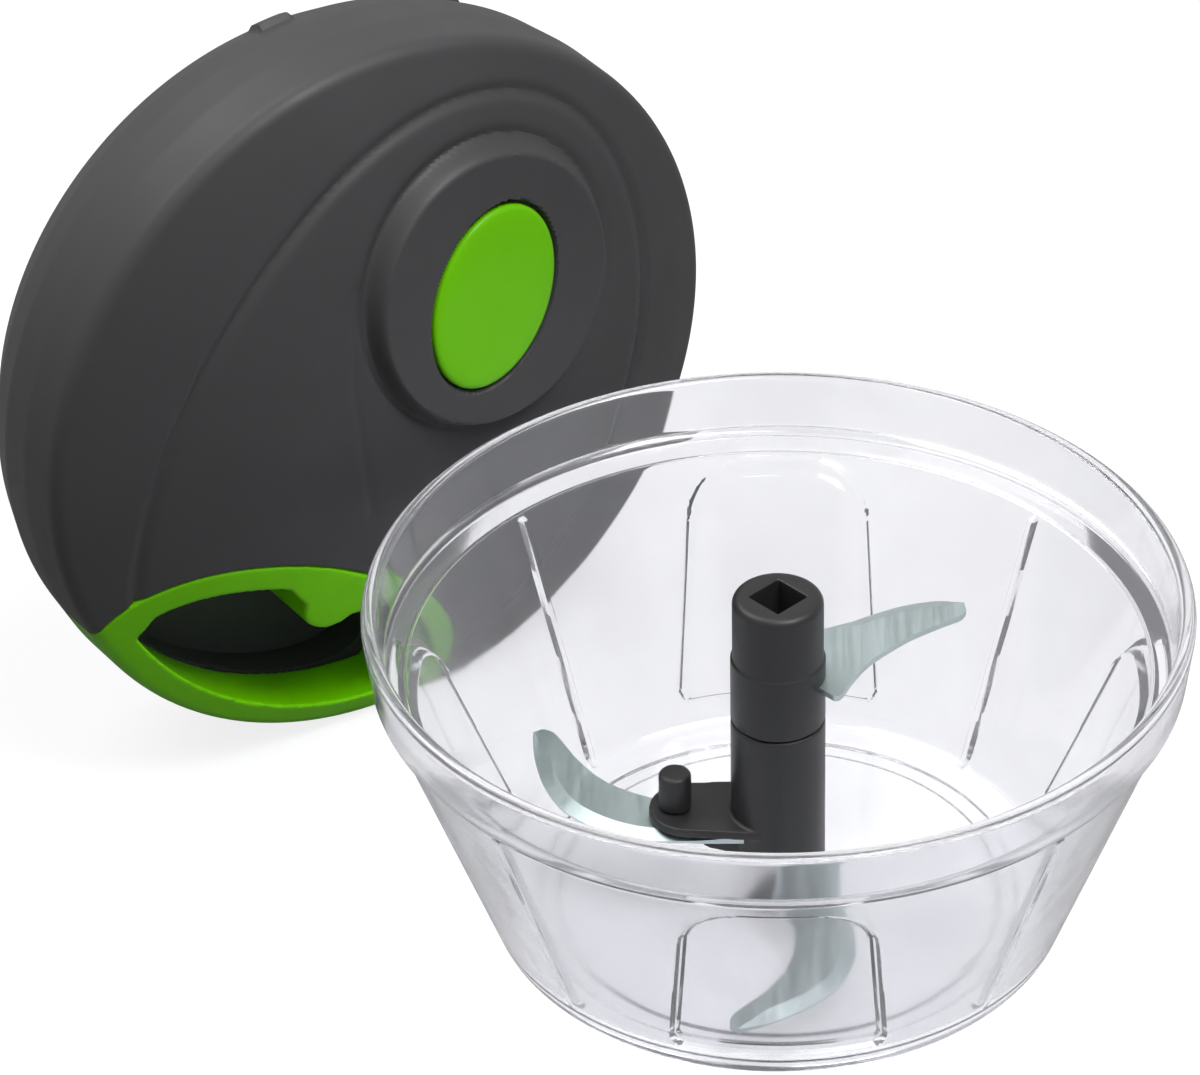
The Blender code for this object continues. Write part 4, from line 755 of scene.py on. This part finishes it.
def face_height(x, y):
    """Height of the cover's face above its lower edge, with its grooves and boss."""
    r = np.hypot(x, y)
    z = dome(r)
    z = z + groove(line_distance(x, y, horseshoe()), HORSESHOE_DEPTH, HORSESHOE_WIDTH)
    z = z + groove(line_distance(x, y, FLOW_LINE), FLOW_DEPTH, FLOW_WIDTH)
    out = np.hypot(x, (y - BOSS_BACK) / math.cos(BOSS_TILT))
    z = z + groove(out - BOSS_R - 0.9, 0.6, 0.9)
    top = dome(BOSS_BACK) + BOSS_PROUD - math.tan(BOSS_TILT) * (y - BOSS_BACK)
    rise = step(-1.2, 0.9, BOSS_R - 0.4 - out)
    z = z + (top - z) * rise
    seat = arc((0, BUTTON_SHIFT), *BUTTON_SEAT, 0, math.tau, 64)[:-1]
    depth_in = -edge_distance(x, y - BOSS_BACK, seat)
    return z - BUTTON_SEAT_DEPTH * step(-0.25, 0.25, depth_in)


def lug_rise(turn, z):
    """How far the bayonet lugs stand out of the skirt at an angle and height."""
    rise = 0.0
    for side in (0.0, math.pi):
        for middle, spread in LUGS:
            past = turn - math.radians(middle) - side
            away = np.abs(np.remainder(past + math.pi, math.tau) - math.pi)
            half = math.radians(spread / 2)
            rise = rise + 1 - step(half - 0.008, half + 0.008, away)
    return rise * step(3.0, 3.9, z) * (1 - step(6.7, 7.8, z))


def cover_rows(turns):
    """Rows of points over the cover's outside and back up its inside."""
    outside = finer(
        rounded(cover_side(0.0, 112)) + [*SKIRT_LINE, (53.2, 0.2), (53.0, 0)], 0.8)
    inside = finer([(51.4, 0), (51.4, 4.8)], 3.0) + rounded(cover_side(COVER_WALL, 10) + [
        (56.8, 12.0), (54.6, 6.2), (51.4, 4.8)], 3)[::-1][1:]
    out = np.array(outside)
    r = np.repeat(out[:, :1], len(turns), 1)
    z = np.repeat(out[:, 1:], len(turns), 1)
    t = np.repeat(turns[None], len(out), 0)
    x, y = r * np.cos(t), r * np.sin(t)
    face = (out[:, 0] < 58.0) & (out[:, 1] > 26.0)
    z[face] = z[face] + face_height(x[face], y[face]) - dome(r[face])
    skirt = out[:, 1] < 12
    r[skirt] = r[skirt] + LUG_PROUD * lug_rise(t[skirt], z[skirt])
    rows = np.stack([r * np.cos(t), r * np.sin(t), z], 2)
    back = np.array([p[:2] for p in inside])
    rows_in = np.stack([
        back[:, :1] * np.cos(turns), back[:, :1] * np.sin(turns),
        np.repeat(back[:, 1:], len(turns), 1)], 2)
    return np.vstack([rows, rows_in])


def block(name, inward):
    """Solid of the cover's form, drawn inward."""
    corners = rounded(cover_side(inward, 24))
    corners += [(r - inward, z) for r, z in SKIRT_LINE]
    corners.append((0, SKIRT_LINE[-1][1]))
    return lathe(name, corners, 256)


def pocket_outline(gap):
    """D-shaped outline of the handle's pocket, wider by a gap and open to the barrel."""
    far = -BARREL_R - 8
    wide = POCKET_HALF_WIDE + gap
    curve = arc((0, -POCKET_CENTRE), wide, POCKET_HALF_LONG + gap, 0, math.pi, 72)
    return np.vstack([curve, [(-wide, far), (wide, far)]])


def recess(name, gap, bottom, top):
    """Oval block below the pocket's floor, for a finger behind the handle."""
    outline = arc((0, -RECESS_CENTRE), RECESS_HALF_WIDE + gap, RECESS_HALF_LONG + gap,
                  0, math.tau, 96)[:-1]
    return plate(name, outline, bottom, top)


def build_cover():
    turns = np.linspace(0, math.tau, 560, endpoint=False)
    cover = skin("domed_cover", cover_rows(turns))
    walls = plate("walls", pocket_outline(COVER_WALL), POCKET_FLOOR - COVER_WALL, 50.0)
    carve(walls, block("core", COVER_WALL / 2 + 0.013), "INTERSECT")
    carve(cover, walls, "UNION")
    carve(cover, plate("pocket", pocket_outline(0.0), POCKET_FLOOR, 52.0))
    walls = recess("recess_walls", RECESS_WALL, RECESS_FLOOR - COVER_WALL, POCKET_FLOOR - 1.1)
    carve(cover, walls, "UNION")
    carve(cover, recess("finger_recess", 0.0, RECESS_FLOOR, POCKET_FLOOR + 1.0))
    hole = lathe("hole", [(0, 22.7), (3.1, 22.7), (3.1, 27.2), (0, 27.2)], 32)
    hole.matrix_world = (
        Matrix.Translation((0, 0, CORD_LEVEL)) @ Matrix.Rotation(math.pi / 2, 4, "X"))
    carve(cover, settle(hole))
    place(cover, "lid", COVER, ["top_cover"], LID_FRAME, sharp=38)


def build_insert():
    """Oval button: a slightly crowned face with a rounded edge."""
    shares = [0.0, 0.2, 0.4, 0.6, 0.75, 0.87, 0.94, 0.975, 0.993, 1.0]
    heights = [0.62, 0.61, 0.58, 0.53, 0.47, 0.38, 0.27, 0.12, -0.12, -0.4]
    turns = np.linspace(0, math.tau, 128, endpoint=False)
    rows = []
    for share, height in zip(shares + [1.0, 0.0], heights + [-1.5, -1.5]):
        rows.append(np.stack([
            BUTTON_HALF_WIDE * share * np.cos(turns),
            BUTTON_SHIFT + BUTTON_HALF_LONG * share * np.sin(turns),
            np.full(turns.shape, height)], 1))
    insert = skin("oval_button", rows)
    insert.matrix_world = (
        Matrix.Translation((0, BOSS_BACK, float(dome(BOSS_BACK)) + BOSS_PROUD))
        @ Matrix.Rotation(-BOSS_TILT, 4, "X"))
    place(settle(insert), "lid", GREEN, ["oval_insert"], LID_FRAME, sharp=50)


def finger_hole_outline():
    """Opening of the handle, with the cord's tab standing into it."""
    wide = POCKET_HALF_WIDE - HANDLE_BAR
    deep = POCKET_HALF_LONG - HANDLE_BAR
    far_r = BARREL_R - HANDLE_BAR
    corner_x = wide - HANDLE_CORNER
    right = arc((0, -POCKET_CENTRE), wide, deep,
                math.acos(corner_x / wide), math.acos(TAB_HALF_ROOT / wide), 24)
    left = (right * (-1, 1))[::-1]
    tab = arc((0, -TAB_CENTRE), TAB_R, TAB_R, -math.radians(15), -math.radians(165), 30)
    reach = math.asin(corner_x / far_r)
    far = arc((0, 0), far_r, far_r, -math.pi / 2 - reach, -math.pi / 2 + reach, 48)
    return np.vstack([right, tab, left, far])


def build_handle():
    outline = pocket_outline(-HANDLE_FIT)
    handle = plate("green_handle", outline, POCKET_FLOOR + HANDLE_FIT, 50.0)
    carve(handle, block("form", 0.0), "INTERSECT")
    carve(handle, plate("fingers", finger_hole_outline(), 10.0, 60.0))
    soften(handle, 0.36, 5)
    place(handle, "handle", GREEN, ["pull_handle"], LID_FRAME, sharp=70)


def build_base():
    """Dished plate under the lid's mechanism, with the well of the square spindle."""
    base = lathe("lid_base", rounded([
        (5.9, 19.1), (11.2, 19.1), (11.2, 9.6), (38.55, 9.6), (41.05, 4.5), (51.1, 4.5),
        (51.1, 2.4, 0.3), (38.95, 2.4, 0.8), (36.45, 7.5, 1.2), (9.0, 7.5, 0.8), (9.0, 17.0, 0.8),
        (5.9, 17.0, 0.3)]), 192, ring=True)
    place(base, "lid", BASE, ["base_cover"], LID_FRAME, sharp=40)


def build_screws():
    profile = rounded([
        (0, 1.8), (2.7, 1.8, 0.9), (2.7, 0, 0.15), (1.4, 0), (1.4, -9.5), (0, -10.5)], 5)
    long, wide = 1.7, 0.28
    cross = [(long, wide), (-long, wide), (-long, -wide), (long, -wide)]
    for number, angle in enumerate(SCREW_ANGLES, start=1):
        screw = lathe(f"back_screw_{number}", profile, 48)
        for turn in (0.0, math.pi / 2):
            slot = plate("slot", cross, 0.9, 3.0)
            slot.matrix_world = Matrix.Rotation(turn, 4, "Z")
            carve(screw, settle(slot))
        turn = math.radians(angle - 90.0)
        place_at = (SCREW_CIRCLE_R * math.cos(turn), SCREW_CIRCLE_R * math.sin(turn), SCREW_LEVEL)
        screw.matrix_world = (
            Matrix.Translation(place_at)
            @ Matrix.Rotation(math.pi, 4, "X") @ Matrix.Rotation(angle, 4, "Z"))
        place(settle(screw), "lid", BRIGHT, [f"cover_screw_{number}"],
              LID_FRAME, sharp=35)


def build_cord():
    """Cord from the reel through the eyelet to the knot."""
    bend = Vector((0, -CORD_BEND))
    turn = math.acos(CORD_LEAVE_R / bend.length)
    start = Vector((-CORD_LEAVE_R * math.sin(turn), -CORD_LEAVE_R * math.cos(turn)))
    before = bend + (start - bend).normalized() * CORD_EASE
    after = Vector((0, bend.y - CORD_EASE))
    route = [start.lerp(before, k / 8) for k in range(8)]
    for k in range(11):
        route.append(before.lerp(bend, k / 10).lerp(bend.lerp(after, k / 10), k / 10))
    route += [Vector((0, y)) for y in (-25.0, -25.7, -25.9, -26.1, -26.3, -27.5, -29.0, -30.3)]
    centre = np.array([(p.x, p.y, CORD_LEVEL) for p in route])
    ahead = np.gradient(centre, axis=0)
    ahead /= np.linalg.norm(ahead, axis=1)[:, None]
    side = np.cross(ahead, (0, 0, 1.0))
    turns = np.linspace(0, math.tau, 16, endpoint=False)
    across = np.cos(turns)[:, None]
    upward = np.sin(turns)[:, None] * np.array((0, 0, 1.0))
    rows = [np.repeat(centre[:1], 16, 0)]
    for c, s in zip(centre, side):
        rows.append(c + CORD_R * (across * s + upward))
    rows.append(np.repeat(centre[-1:], 16, 0))
    cord = skin("braided_cord", rows)
    place(cord, None, CORD, ["pull_cord"], LID_FRAME, sharp=50)
    start, end = (LID_FRAME @ Vector((0, y * MM, CORD_LEVEL * MM)) for y in CORD_SPLIT)
    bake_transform(cord)


# Stage

def build_stage():
    """Pale floor. What the camera sees, also through the bowl, is lifted by a glow."""
    bpy.ops.mesh.primitive_plane_add(size=9.0, location=(0, 0, -0.0003))
    floor = bpy.context.object
    floor.name = "studio_floor"
    n = Nodes("pale_floor")
    cloud = n.noise(1.6, 2.0)
    n.link(n.blend(cloud, (0.19, 0.19, 0.19), (0.21, 0.21, 0.215)), n.shader.inputs["Base Color"])
    n.shader.inputs["Roughness"].default_value = 0.9
    n.shader.inputs["Specular IOR Level"].default_value = 0.1
    glow = n.add("Emission", {"Color": (1, 1, 1, 1), "Strength": 0.82})
    dark = n.add("Emission", {"Color": (0, 0, 0, 1), "Strength": 0.0})
    path = n.add("LightPath")
    seen = n.add("Math", {
        0: path.outputs["Is Camera Ray"], 1: path.outputs["Is Transmission Ray"],
    }, operation="MAXIMUM")
    lift = n.add("MixShader", {0: seen.outputs[0], 1: dark.outputs[0], 2: glow.outputs[0]})
    both = n.add("AddShader", {0: n.shader.outputs[0], 1: lift.outputs[0]})
    n.link(both.outputs[0], n.output.inputs["Surface"])
    floor.data.materials.append(n.material)


def build_world():
    """Soft grey studio light, plain white where it is looked at."""
    world = bpy.data.worlds.new("studio")
    bpy.context.scene.world = world
    world.use_nodes = True
    tree = world.node_tree
    tree.nodes.clear()
    where = tree.nodes.new("ShaderNodeTexCoord")
    split = tree.nodes.new("ShaderNodeSeparateXYZ")
    ramp = tree.nodes.new("ShaderNodeValToRGB")
    ramp.color_ramp.elements[0].position = 0.0
    ramp.color_ramp.elements[0].color = (0.44, 0.44, 0.46, 1)
    ramp.color_ramp.elements[1].position = 0.75
    ramp.color_ramp.elements[1].color = (0.80, 0.80, 0.80, 1)
    back = tree.nodes.new("ShaderNodeBackground")
    back.inputs["Strength"].default_value = 0.30
    plain = tree.nodes.new("ShaderNodeBackground")
    plain.inputs["Color"].default_value = (1, 1, 1, 1)
    path = tree.nodes.new("ShaderNodeLightPath")
    mix = tree.nodes.new("ShaderNodeMixShader")
    out = tree.nodes.new("ShaderNodeOutputWorld")
    tree.links.new(where.outputs["Generated"], split.inputs[0])
    tree.links.new(split.outputs["Z"], ramp.inputs[0])
    tree.links.new(ramp.outputs[0], back.inputs["Color"])
    seen = tree.nodes.new("ShaderNodeMath")
    seen.operation = "MAXIMUM"
    tree.links.new(path.outputs["Is Camera Ray"], seen.inputs[0])
    tree.links.new(path.outputs["Is Transmission Ray"], seen.inputs[1])
    shine = tree.nodes.new("ShaderNodeMath")
    shine.operation = "MULTIPLY_ADD"
    shine.use_clamp = True
    shine.inputs[1].default_value = 0.55
    tree.links.new(path.outputs["Is Glossy Ray"], shine.inputs[0])
    tree.links.new(seen.outputs[0], shine.inputs[2])
    tree.links.new(shine.outputs[0], mix.inputs[0])
    tree.links.new(back.outputs[0], mix.inputs[1])
    tree.links.new(plain.outputs[0], mix.inputs[2])
    tree.links.new(mix.outputs[0], out.inputs["Surface"])


def lamp(name, place_at, aim, size, power):
    data = bpy.data.lights.new(name, "AREA")
    data.shape = "RECTANGLE"
    data.size = size
    data.size_y = size
    data.energy = power
    made = bpy.data.objects.new(name, data)
    bpy.context.scene.collection.objects.link(made)
    made.location = place_at
    made.rotation_euler = (Vector(aim) - Vector(place_at)).to_track_quat("-Z", "Y").to_euler()


def build_lights():
    for name, place_at, aim, size, power in LAMPS:
        lamp(name, place_at, aim, size, power)


def build_camera():
    """Camera fitted to the photograph: 1 m away, 36.8 degrees above the horizon."""
    rise, yaw, pitch = CAMERA_RISE, CAMERA_YAW, CAMERA_PITCH
    right = Vector((1, 0, 0))
    forward = Vector((0, math.cos(rise), -math.sin(rise)))
    up = right.cross(forward)
    level = Matrix((right, up, -forward))
    turn = Matrix.Rotation(pitch, 3, "X") @ Matrix.Rotation(yaw, 3, "Y") @ level
    data = bpy.data.cameras.new("photo_camera")
    data.sensor_width = 36.0
    data.lens = data.sensor_width * FOCAL_PIXELS / PHOTO_WIDTH
    data.clip_start = 0.05
    data.clip_end = 20.0
    camera = bpy.data.objects.new("photo_camera", data)
    bpy.context.scene.collection.objects.link(camera)
    camera.matrix_world = (
        Matrix.Translation((0, -math.cos(rise), AIM_HEIGHT + math.sin(rise)))
        @ turn.transposed().to_4x4())
    bpy.context.scene.camera = camera


build_camera()
carry_over()
build_bowl()
build_tower()
build_cover()
build_insert()
build_handle()
build_base()
build_screws()
build_cord()
build_stage()
build_world()
build_lights()
bpy.context.scene.view_settings.view_transform = "Standard"
